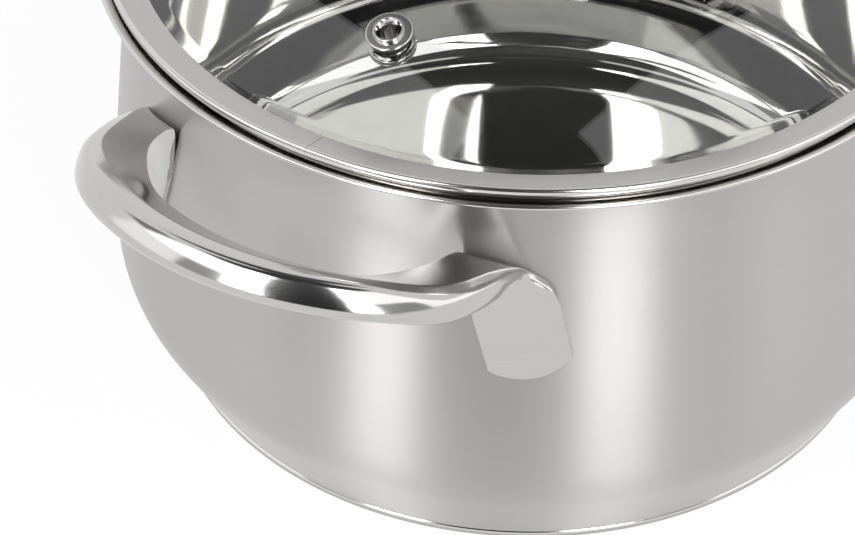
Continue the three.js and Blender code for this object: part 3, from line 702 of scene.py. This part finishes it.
def off_the_wall(points):
    radius = np.hypot(points[:, 0], points[:, 1])
    least = wall_radius(points[:, 2]) + WELD_CLEARANCE
    points[:, :2] *= np.maximum(1, least / radius)[:, None]
    return points


def evened(rings):
    bent = np.zeros(len(rings), bool)
    bent[BENT[0]:BENT[1]] = True
    bent[-BENT[1]:-BENT[0]] = True
    for _ in range(EVEN_PASSES):
        between = rings.copy()
        between[1:-1] = (rings[:-2] + 2 * rings[1:-1] + rings[2:]) / 4
        rings[bent] = between[bent]
    return rings


def side_handle(name, turn):
    half = [
        tongue_ring(1, -TONGUE_BOW),
        tongue_ring(0.5, 0),
        tongue_ring(0, 0),
        *leg_rings(),
        bar_ring(LEG_ANGLE, LEG_LEAN, LEG_LIFT, LEG_SIZE),
        *(bar_ring(angle, BAR_LEAN, 0, 1) for angle in np.linspace(LEG_ANGLE, 0, BAR_KEYS)[1:]),
    ]
    keys = [*half, *(key * (1, -1, 1) for key in half[-2::-1])]
    lofted = curve_through(keys, HANDLE_RINGS_PER_SPAN)
    rings = evened(np.array([eased(points, HANDLE_EASE) for points in lofted]))
    piece = skinned(name, [off_the_wall(points) for points in rings], cast_steel)
    piece.data.transform(Matrix.Rotation(turn, 4, "Z"))
    bevel = piece.modifiers.new("ground_edges", "BEVEL")
    bevel.width = BEVEL_WIDTH * MM
    bevel.segments = BEVEL_STEPS
    bevel.limit_method = "ANGLE"
    bevel.angle_limit = BEVEL_ANGLE
    return piece


dress(side_handle("loop_handle_right", 0), "pot", "polished_steel", "handle_right")
dress(side_handle("loop_handle_left", math.pi), "pot", "polished_steel", "handle_left")

# %% [markdown]
# The lid is a dome of tempered soda-lime glass. It is bent over a mould from a flat disc, so it is
# part of a sphere with a flat edge that the steel rim grips. Glass is a clear transmitting shader
# with the index of soda-lime glass and the faint green that its iron gives. Tempering leaves very
# long shallow waves.

# %% Tempered glass
GLASS_WAVE = 45


def tempered_glass():
    material, tree = new_material("tempered_soda_lime_glass")
    place = add(tree, "TexCoord").outputs["Object"]
    waves = add(tree, "TexNoise", {"Scale": 1 / (GLASS_WAVE * MM), "Detail": 0}, {"Vector": place})
    bump = add(tree, "Bump", {"Strength": 1, "Distance": 0.01 * MM}, {"Height": waves.outputs["Fac"]})
    return finished(
        material,
        {"Base Color": colour("#fbfcfc"), "Roughness": 0, "IOR": 1.52, "Transmission Weight": 1},
        {"Normal": bump.outputs[0]},
    )


lid_clear = tempered_glass()
print("made", lid_clear.name)

# %% [markdown]
# Everything on the lid is placed from the glass: the dome's sphere, its flat edge, and the points
# where the vent and the handle's screws go through. Those stand square on the dome, so each is
# made upright at zero and then carried to its place by one matrix.

# %% Places on the lid
LID_TURN = math.radians(183)
GRIP_TURN = LID_TURN + math.radians(78)
GLASS_THICKNESS = 3.5
DOME_RADIUS = 243.0
LEDGE_RADIUS = 1000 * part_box("lid_glass")[1].x
DOME_TOP = 1000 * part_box("lid_glass")[1].z
LEDGE_BOTTOM = 1000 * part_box("lid_glass")[0].z
LEDGE_TOP = LEDGE_BOTTOM + GLASS_THICKNESS
DOME_MIDDLE = DOME_TOP - DOME_RADIUS
VENT_RADIUS = 68.4
GRIP_SCREW = 50.0


def on_dome(radius, turn):
    lean = math.asin(radius / DOME_RADIUS)
    height = DOME_MIDDLE + DOME_RADIUS * math.cos(lean)
    place = Matrix.Translation(Vector((radius, 0, height)) * MM)
    return Matrix.Rotation(turn, 4, "Z") @ place @ Matrix.Rotation(lean, 4, "Y")


vent_place = on_dome(VENT_RADIUS, LID_TURN)
screw_places = {
    "front": on_dome(GRIP_SCREW, GRIP_TURN),
    "back": on_dome(GRIP_SCREW, GRIP_TURN + math.pi),
}
print("top of the dome", round(DOME_TOP, 1), "mm over the table")

# %% [markdown]
# The dome is turned, then drilled: a boolean takes a plain turned plug away at each hole. The
# plugs are only tools and are deleted again.

# %% Glass dome
DOME_POINTS = 48
PLUG_SIDES = 48
LEDGE_ROUNDING = 0.6
VENT_HOLE = 4.6
SCREW_HOLE = 3.8


def cut_away(piece, tool):
    cut = piece.modifiers.new("cut", "BOOLEAN")
    cut.object = tool
    cut.solver = "EXACT"
    shaped = piece.evaluated_get(bpy.context.evaluated_depsgraph_get())
    piece.data = bpy.data.meshes.new_from_object(shaped)
    piece.modifiers.clear()
    bpy.data.meshes.remove(tool.data)


def drilled(piece, holes):
    for radius, place, bottom, top in holes:
        outline = [(0, bottom), (radius, bottom), (radius, top), (0, top)]
        plug = turned("plug", [(outline, None)], sides=PLUG_SIDES)
        plug.data.transform(place)
        cut_away(piece, plug)
    return piece


def dome_line(radius, start, end):
    reaches = np.linspace(start, end, DOME_POINTS)
    return [(r, DOME_MIDDLE + math.sqrt(radius ** 2 - r ** 2)) for r in reaches]


def glass_dome():
    inner_radius = DOME_RADIUS - GLASS_THICKNESS
    outer_foot = math.sqrt(DOME_RADIUS ** 2 - (LEDGE_TOP - DOME_MIDDLE) ** 2)
    inner_foot = math.sqrt(inner_radius ** 2 - (LEDGE_BOTTOM - DOME_MIDDLE) ** 2)
    inner = dome_line(inner_radius, 0, inner_foot)
    outer = dome_line(DOME_RADIUS, outer_foot, 0)
    edge = rounded([
        (*inner[-1], 0),
        (LEDGE_RADIUS, LEDGE_BOTTOM, LEDGE_ROUNDING),
        (LEDGE_RADIUS, LEDGE_TOP, LEDGE_ROUNDING),
        (*outer[0], 0),
    ])
    dome = turned("glass_dome", [([*inner, *edge[1:-1], *outer], lid_clear)])
    through = (-2 * GLASS_THICKNESS, GLASS_THICKNESS)
    holes = [(VENT_HOLE, vent_place, *through)]
    holes += [(SCREW_HOLE, place, *through) for place in screw_places.values()]
    return drilled(dome, holes)


dress(glass_dome(), "lid", "lid_glass", "lid_glass")

# %% [markdown]
# The flat top of the lid's rim is brushed with short fine strokes, so it looks soft and even.

# %% Fine satin stainless steel
fine_satin_steel = brushed_metal(
    "fine_satin_stainless", length=6, spacing=0.4, shades=("#bbb9b8", "#c1bfbe"), roughness=(0.36, 0.42)
)
print("made", fine_satin_steel.name)

# %% [markdown]
# The rim is a strip of steel rolled round the edge of the glass: a flat top that falls a little
# towards the glass, a rolled edge that sits in the pot's lip, a skirt inside the bore and a hook
# under the glass. The strip's two ends meet in a narrow seam.

# %% Lid rim
LID_RADIUS = 1000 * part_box("lid_band")[1].x
BAND_TOP = 1000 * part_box("lid_band")[1].z
HOOK_BOTTOM = 1000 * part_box("lid_band")[0].z
ROLL_RADIUS = 1.5
ROLL_POINTS = 10
BAND_EDGE = 0.8
BAND_SHEET = 0.5
BAND_FALL = 1.9
BAND_COVER = 2.4
BAND_HOOK = 2.4
BAND_ROUNDING = 0.18
EDGE_FULLNESS = 0.9  # share of the band's edge that is round
FOLD_ROUNDING = 0.2
HOOK_ROUNDING = 0.5
SKIRT_ROUNDING = 0.3
SKIRT_CLEARANCE = 0.4
SEAM = 0.1  # width of the slit where the strip's ends meet
ROLL_MIDDLE = LID_RADIUS - ROLL_RADIUS
ROLL_HEIGHT = BAND_TOP - ROLL_RADIUS
BAND_SHOULDER = LID_RADIUS - BAND_EDGE
FLAT_END = BAND_SHOULDER - 0.2
BAND_INNER = BORE_RADIUS - BAND_COVER


def band_top(radius):
    slope = BAND_FALL / (BAND_SHOULDER - BAND_INNER)
    return BAND_TOP - slope * (BAND_SHOULDER - radius)


def lid_rim():
    skirt = BORE_RADIUS - SKIRT_CLEARANCE
    grip = skirt - BAND_SHEET
    hook_end = grip - BAND_HOOK
    hook_top = HOOK_BOTTOM + BAND_SHEET
    inner_edge = (BAND_INNER, band_top(BAND_INNER) - BAND_SHEET, 0)
    flat_end = (FLAT_END, band_top(FLAT_END), 0)
    flat = rounded([inner_edge, (BAND_INNER, band_top(BAND_INNER), BAND_ROUNDING), flat_end])[1:]
    roll = rounded([
        flat_end,
        (LID_RADIUS, BAND_TOP, EDGE_FULLNESS * BAND_EDGE),
        (LID_RADIUS, ROLL_HEIGHT, 0),
    ])[1:-1]
    roll += [
        (ROLL_MIDDLE + ROLL_RADIUS * math.cos(a), ROLL_HEIGHT + ROLL_RADIUS * math.sin(a))
        for a in np.linspace(0, -math.pi / 2, ROLL_POINTS)
    ]
    inner = rounded([
        (*roll[-1], 0),
        (skirt, BAND_TOP - 2 * ROLL_RADIUS, SKIRT_ROUNDING),
        (skirt, HOOK_BOTTOM, HOOK_ROUNDING),
        (hook_end, HOOK_BOTTOM, FOLD_ROUNDING),
        (hook_end, hook_top, FOLD_ROUNDING),
        (grip, hook_top, FOLD_ROUNDING),
        (grip, band_top(grip) - BAND_SHEET, FOLD_ROUNDING),
        inner_edge,
    ])[1:]
    slit = math.degrees(SEAM / LID_RADIUS)
    start = math.degrees(LID_TURN) + slit / 2
    stretches = [(flat, fine_satin_steel), (roll, edge_steel), (inner, edge_steel)]
    return turned("lid_rim", stretches, start=start, sweep=360 - slit)


dress(lid_rim(), "lid", "rim_steel", "lid_band")

# %% [markdown]
# Dark silicone keeps the metal fittings off the glass. It is soft and slightly dusty, so it is a
# rough dark plastic with a fine grain.

# %% Silicone
GRAIN = 0.3


def moulded_silicone():
    material, tree = new_material("moulded_silicone")
    place = add(tree, "TexCoord").outputs["Object"]
    values = {"Scale": 1 / (GRAIN * MM), "Detail": 2}
    grain = add(tree, "TexNoise", values, {"Vector": place}).outputs["Fac"]
    bump = add(tree, "Bump", {"Strength": 0.15, "Distance": 0.03 * MM}, {"Height": grain})
    return finished(material, {"IOR": 1.41}, {
        "Base Color": tinted(tree, grain, "#262625", "#323130"),
        "Roughness": ranged(tree, grain, 0.45, 0.6),
        "Normal": bump.outputs[0],
    })


silicone = moulded_silicone()
print("made", silicone.name)

# %% [markdown]
# The steam vent is an eyelet: a tube whose top is flared over a flange and whose foot is flared
# under a washer, through a grommet. Heights count from the top of the glass. The small corners
# share a few roundings, from tight to soft.

# %% Steam vent
TIGHT = 0.1
DEBURRED = 0.15
BROKEN = 0.2
TURNED = 0.25
MOULDED = 0.35
SOFT = 0.4
SMALL_SIDES = 72
OFF_GLASS = 0.05
UNDER_GLASS = -3.8
VENT_BORE = 2.35
TUBE_OUTER = 3.3
FLARE_RADIUS = 3.65
FLARE_WALL = 0.5
FLARE_ROUNDING = 0.6
FLARE_SINK = 0.1
FLARE_TOP = 3.1
FLANGE_RADIUS = 5.6
FLANGE_BOTTOM = 1.7
FLANGE_TOP = 2.3
GROMMET_INNER = 3.6
GROMMET_OUTER = 4.3
GROMMET_LIP = 5.1
GROMMET_TOP = 1.6
WASHER_BOTTOM = -4.6
WASHER_OUTER = 5.6
FOOT_TOP = -4.9
FOOT_BOTTOM = -5.5


def small_ring(name, corners, finish, place):
    piece = turned(name, [(rounded(corners, closed=True), finish)], sides=SMALL_SIDES)
    piece.data.transform(place)
    return piece


def vent_eyelet():
    return small_ring("vent_tube", [
        (VENT_BORE, FOOT_BOTTOM, TURNED),
        (WASHER_OUTER, FOOT_BOTTOM, TURNED),
        (WASHER_OUTER, FOOT_TOP, TIGHT),
        (TUBE_OUTER, FOOT_TOP, TIGHT),
        (TUBE_OUTER, FLANGE_BOTTOM, TIGHT),
        (FLANGE_RADIUS, FLANGE_BOTTOM, DEBURRED),
        (FLANGE_RADIUS, FLANGE_TOP, SOFT),
        (FLARE_RADIUS, FLANGE_TOP - FLARE_SINK, TIGHT),
        (FLARE_RADIUS, FLARE_TOP, TURNED),
        (FLARE_RADIUS - FLARE_WALL, FLARE_TOP, BROKEN),
        (VENT_BORE, FLANGE_BOTTOM, FLARE_ROUNDING),
    ], cast_steel, vent_place)


def collar(name, inner, sleeve, lip, top, rounding, place):
    return small_ring(name, [
        (inner, -GLASS_THICKNESS, TIGHT),
        (sleeve, -GLASS_THICKNESS, BROKEN),
        (sleeve, OFF_GLASS, TIGHT),
        (lip, OFF_GLASS, TIGHT),
        (lip, top, rounding),
        (inner, top, TIGHT),
    ], silicone, place)


def vent_grommet():
    sizes = (GROMMET_INNER, GROMMET_OUTER, GROMMET_LIP, GROMMET_TOP)
    return collar("vent_grommet", *sizes, MOULDED, vent_place)


def vent_washer():
    return small_ring("vent_washer_ring", [
        (GROMMET_INNER, WASHER_BOTTOM, DEBURRED),
        (WASHER_OUTER, WASHER_BOTTOM, DEBURRED),
        (WASHER_OUTER, UNDER_GLASS, DEBURRED),
        (GROMMET_INNER, UNDER_GLASS, DEBURRED),
    ], cast_steel, vent_place)


dress(vent_eyelet(), "lid", "polished_steel", "vent_eyelet")
dress(vent_grommet(), "lid", "silicone", "vent_gasket")
dress(vent_washer(), "lid", "polished_steel", "vent_washer")

# %% [markdown]
# The lid's handle is a cast bow of the same family as the side handles: flat inside, full outside,
# with two feet that lie along the dome. It is lofted the same way, and its feet are drilled for
# the screws.

# %% Lid handle
GRIP_FOOT_BOTTOM = 1.8
GRIP_TIP = 64.0
GRIP_TIP_BOW = 5.0
GRIP_SWEEP = 78
GRIP_RADIUS = 41.0
GRIP_RISE = 33.0
GRIP_WIDTH = 11.5
GRIP_DEPTH = 9.5
GRIP_FULLNESS = 0.35
GRIP_EASE = 0.9
GRIP_KEYS = 4
GRIP_FOOT_WIDTH = 13.0
GRIP_FOOT = (6.5, 0.45)  # depth and squareness of a foot at its screw
GRIP_FOOT_TIP = (3, 0.2)  # and at its tip
SCREW_RADIUS = 2.0
SCREW_TIP = 5.8


def foot_ring(radius, depth, squareness, bow):
    lean = math.asin(radius / DOME_RADIUS)
    outward = np.array((math.sin(lean), 0, math.cos(lean)))
    outer = np.array((math.cos(lean), 0, -math.sin(lean)))
    middle = outward * (DOME_RADIUS + GRIP_FOOT_BOTTOM) + np.array((0, 0, DOME_MIDDLE))
    belly = plate_belly(GRIP_FOOT_WIDTH, depth, squareness=squareness)
    return ring(middle, (0, 1, 0), -outward, GRIP_FOOT_WIDTH, belly, outer * bow)


def bow_ring(angle):
    turn = math.radians(angle)
    radial = np.array((math.sin(turn), 0, math.cos(turn)))
    middle = radial * GRIP_RADIUS + np.array((0, 0, DOME_TOP + GRIP_RISE - GRIP_RADIUS))
    belly = plate_belly(GRIP_WIDTH, GRIP_DEPTH, fullness=GRIP_FULLNESS)
    return ring(middle, (0, 1, 0), -radial, GRIP_WIDTH, belly)


def bow_handle():
    half = [
        foot_ring(GRIP_TIP - GRIP_TIP_BOW, *GRIP_FOOT_TIP, GRIP_TIP_BOW),
        foot_ring(GRIP_SCREW, *GRIP_FOOT, 0),
        *(bow_ring(angle) for angle in np.linspace(GRIP_SWEEP, 0, GRIP_KEYS)),
    ]
    keys = [*half, *(key * (-1, 1, 1) for key in half[-2::-1])]
    rings = [eased(points, GRIP_EASE) for points in curve_through(keys, HANDLE_RINGS_PER_SPAN)]
    piece = skinned("bow_handle", rings, cast_steel)
    piece.data.transform(Matrix.Rotation(GRIP_TURN, 4, "Z"))
    holes = [(SCREW_RADIUS + GAP, place, 0, SCREW_TIP + GAP) for place in screw_places.values()]
    return drilled(piece, holes)


dress(bow_handle(), "lid", "polished_steel", "lid_handle")

# %% [markdown]
# Under each foot lie a silicone pad with a sleeve through the glass, a pad and a washer below the
# glass, and a pan-head screw with a cross recess. The recess is two crossed slots sunk in the head.

# %% Pads, washers and screws of the lid handle
PAD_INNER = 2.3
PAD_SLEEVE = 3.5
PAD_RADIUS = 6.0
PAD_TOP = 1.5
UNDER_PAD_TOP = -3.6
UNDER_PAD_BOTTOM = -5.0
SCREW_WASHER_TOP = -5.3
SCREW_WASHER_BOTTOM = -6.1
HEAD_TOP = -6.4
HEAD_BOTTOM = -8.8
HEAD_RADIUS = 4.0
HEAD_ROUNDING = 1.6
TIP_ROUNDING = 0.6
RECESS_DEPTH = 1.4
RECESS_ARM = 2.0
RECESS_WIDTH = 0.9
RECESS_START = HEAD_BOTTOM - 1


def foot_pad(end, place):
    return collar(f"foot_pad_{end}", PAD_INNER, PAD_SLEEVE, PAD_RADIUS, PAD_TOP, SOFT, place)


def under_pad(end, place):
    return small_ring(f"under_pad_{end}", [
        (PAD_INNER, UNDER_PAD_BOTTOM, TIGHT),
        (PAD_RADIUS, UNDER_PAD_BOTTOM, SOFT),
        (PAD_RADIUS, UNDER_PAD_TOP, BROKEN),
        (PAD_INNER, UNDER_PAD_TOP, TIGHT),
    ], silicone, place)


def screw_washer(end, place):
    return small_ring(f"screw_washer_{end}", [
        (PAD_INNER, SCREW_WASHER_BOTTOM, DEBURRED),
        (PAD_RADIUS, SCREW_WASHER_BOTTOM, BROKEN),
        (PAD_RADIUS, SCREW_WASHER_TOP, BROKEN),
        (PAD_INNER, SCREW_WASHER_TOP, DEBURRED),
    ], cast_steel, place)


def slot_cutter(turn):
    corners = [
        (x * RECESS_ARM, y * RECESS_WIDTH / 2, z)
        for z in (RECESS_START, HEAD_BOTTOM + RECESS_DEPTH)
        for x, y in ((-1, -1), (1, -1), (1, 1), (-1, 1))
    ]
    walls = [(i, (i + 1) % 4, (i + 1) % 4 + 4, i + 4) for i in range(4)]
    cutter = make_piece("slot", corners, [(0, 1, 2, 3), (4, 5, 6, 7), *walls], [cast_steel])
    cutter.data.transform(Matrix.Rotation(turn, 4, "Z"))
    return cutter


def pan_screw(end, place):
    profile = rounded([
        (0, HEAD_BOTTOM, 0),
        (HEAD_RADIUS, HEAD_BOTTOM, HEAD_ROUNDING),
        (HEAD_RADIUS, HEAD_TOP, DEBURRED),
        (SCREW_RADIUS, HEAD_TOP, BROKEN),
        (SCREW_RADIUS, SCREW_TIP, TIP_ROUNDING),
        (0, SCREW_TIP, 0),
    ])
    piece = turned(f"pan_screw_{end}", [(profile, cast_steel)], sides=SMALL_SIDES)
    for turn in (0, math.pi / 2):
        cut_away(piece, slot_cutter(turn))
    piece.data.transform(place)
    return piece


for end, place in screw_places.items():
    dress(foot_pad(end, place), "lid", "silicone", f"lid_handle_gasket_{end}")
    dress(under_pad(end, place), "lid", "silicone", f"lid_screw_gasket_{end}")
    dress(screw_washer(end, place), "lid", "polished_steel", f"lid_screw_washer_{end}")
    dress(pan_screw(end, place), "lid", "polished_steel", f"lid_screw_{end}")

# %% [markdown]
# The camera stands where the photograph was taken: a long lens, a little under a metre off, looking
# down on the pot from beside its left handle. Its place is given round the pot's axis and over the
# lip, and its aim by three small turns, all found by fitting the rings of the pot.

# %% Camera
IMAGE_WIDTH = 855
FOCAL_PIXELS = 3500
SENSOR_WIDTH = 36
VIEW_TURN = math.radians(-58.9)  # from the front of the frame round to the camera
CAMERA_REACH = 0.7029  # from the pot's axis
CAMERA_RISE = 0.4953  # over the lip
CAMERA_YAW = -0.03631
CAMERA_PITCH = 0.71191
CAMERA_ROLL = 0.00606


def make_camera():
    aim = Vector((
        math.sin(CAMERA_YAW) * math.cos(CAMERA_PITCH),
        math.cos(CAMERA_YAW) * math.cos(CAMERA_PITCH),
        -math.sin(CAMERA_PITCH),
    ))
    level = Vector((math.cos(CAMERA_YAW), -math.sin(CAMERA_YAW), 0))
    upward = level.cross(aim)
    across = level * math.cos(CAMERA_ROLL) + upward * math.sin(CAMERA_ROLL)
    upward = upward * math.cos(CAMERA_ROLL) - level * math.sin(CAMERA_ROLL)
    lens = bpy.data.cameras.new("camera")
    lens.sensor_width = SENSOR_WIDTH
    lens.lens = FOCAL_PIXELS * SENSOR_WIDTH / IMAGE_WIDTH
    camera = bpy.data.objects.new("camera", lens)
    turn = Matrix.Rotation(VIEW_TURN, 4, "Z")
    place = Matrix.Translation((0, -CAMERA_REACH, CAMERA_RISE + POT_HEIGHT * MM))
    camera.matrix_world = turn @ place @ Matrix((across, upward, -aim)).transposed().to_4x4()
    bpy.context.scene.collection.objects.link(camera)
    bpy.context.scene.camera = camera
    return camera


print("camera at", [round(x, 3) for x in make_camera().matrix_world.translation])

# %% [markdown]
# The pot stands on a pale floor in a white room. Both are white to the eye and in reflections, at
# a strength of 1. The room gives half of that as plain light, and the floor still takes a share of
# ordinary light, which keeps the pot's shadow.

# %% Floor and room
FLOOR_SIZE = 6.0
FLOOR_DROP = 0.0002  # a hair under the base
FLOOR_GLOW = 0.92  # share of the floor that is plain white
ROOM_FILL = 0.5


def seen_directly(tree):
    path = add(tree, "LightPath")
    seen = path.outputs["Is Camera Ray"]
    for kind in ("Is Glossy Ray", "Is Transmission Ray"):
        seen = add(tree, "Math", links={0: seen, 1: path.outputs[kind]}, operation="MAXIMUM").outputs[0]
    return seen


def floor_paint():
    material, tree = new_material("floor_paint")
    paint = add(tree, "BsdfDiffuse", {"Color": colour("#f2f2f1")})
    white = add(tree, "Emission", {"Color": (1, 1, 1, 1), "Strength": 1})
    share = add(tree, "Math", {1: FLOOR_GLOW}, {0: seen_directly(tree)}, operation="MULTIPLY")
    mix = add(tree, "MixShader", links={0: share.outputs[0], 1: paint.outputs[0], 2: white.outputs[0]})
    finish_with(tree, mix)
    return material


def studio_floor():
    half = FLOOR_SIZE / 2 / MM
    corners = [(-half, -half, 0), (half, -half, 0), (half, half, 0), (-half, half, 0)]
    floor = make_piece("floor", corners, [(0, 1, 2, 3)], [floor_paint()])
    floor.location.z = -FLOOR_DROP


def white_room():
    world = bpy.data.worlds.new("white_room")
    world.use_nodes = True
    tree = world.node_tree
    tree.nodes.clear()
    fill = add(tree, "Background", {"Color": (1, 1, 1, 1), "Strength": ROOM_FILL})
    white = add(tree, "Background", {"Color": (1, 1, 1, 1), "Strength": 1})
    mix = add(tree, "MixShader", links={0: seen_directly(tree), 1: fill.outputs[0], 2: white.outputs[0]})
    add(tree, "OutputWorld", links={"Surface": mix.outputs[0]})
    bpy.context.scene.world = world


studio_floor()
white_room()
print("floor", FLOOR_SIZE, "m across")

# %% [markdown]
# Bright steel shows its surroundings, so these are built as a photographer would build them. Cloth
# hangs round the pot like a tent: dark overhead and behind the camera, pale at both sides, and a
# narrow bright strip at each edge of the dark. The panels light the pot and show in its steel, but
# the camera doesn't see them and they cast no shadow.

# %% Light tent
TENT_RADIUS = 2.0
CAMERA_SIDE = VIEW_TURN - math.pi / 2  # direction from the pot to the camera
PANEL_STEP = 6  # degrees from point to point of a panel


def tent_cloth(name, glow):
    material, tree = new_material(name)
    finish_with(tree, add(tree, "Emission", {"Color": (1, 1, 1, 1), "Strength": glow}))
    return material


def tent_panel(name, left, right, low, high, glow):
    turns = np.radians(np.linspace(left, right, 1 + math.ceil((right - left) / PANEL_STEP))) + CAMERA_SIDE
    rises = np.radians(np.linspace(low, high, 1 + math.ceil((high - low) / PANEL_STEP)))
    points = [
        (math.cos(rise) * math.cos(turn), math.cos(rise) * math.sin(turn), math.sin(rise))
        for rise in rises
        for turn in turns
    ]
    columns = len(turns)
    corners = [r * columns + c for r in range(len(rises) - 1) for c in range(columns - 1)]
    faces = [(i, i + 1, i + 1 + columns, i + columns) for i in corners]
    panel = make_piece(name, np.array(points) * TENT_RADIUS / MM, faces, [tent_cloth(name, glow)])
    panel.visible_camera = False
    panel.visible_shadow = False


TENT = {  # left and right edge from the camera's side, lower and upper edge over the horizon, glow
    "camera_slot": (-26, 15, 4, 30, 0.03),
    "camera_hood": (-26, 15, 30, 64, 0.04),
    "camera_top": (-100, 100, 64, 81, 0.05),
    "ceiling": (-180, 180, 81, 89.8, 0.05),
    "left_diffuser": (-88, -41, 30, 64, 2.0),
    "left_skirt": (-95, -62, 4, 30, 1.4),
    "left_stand": (-62, -41, 6, 30, 0.45),
    "left_strip": (-41, -26, 8, 64, 8.5),
    "right_diffuser": (31, 82, 30, 64, 1.8),
    "right_skirt": (56, 118, 8, 30, 1.7),
    "right_strip": (15, 31, 8, 64, 7.6),
    "right_stand": (31, 56, 6, 30, 0.4),
    "left_flag": (-107, -88, 33, 52, 0.25),
    "far_cloth": (143, 217, 52, 81, 0.1),
}
for name, edges_and_glow in TENT.items():
    tent_panel(name, *edges_and_glow)
print("tent of", len(TENT), "panels,", 2 * TENT_RADIUS, "m across")

# %% [markdown]
# The picture is shown with the plain Standard view, so that a colour is seen about as it is
# written.

# %% Finish
bpy.context.scene.view_settings.view_transform = "Standard"
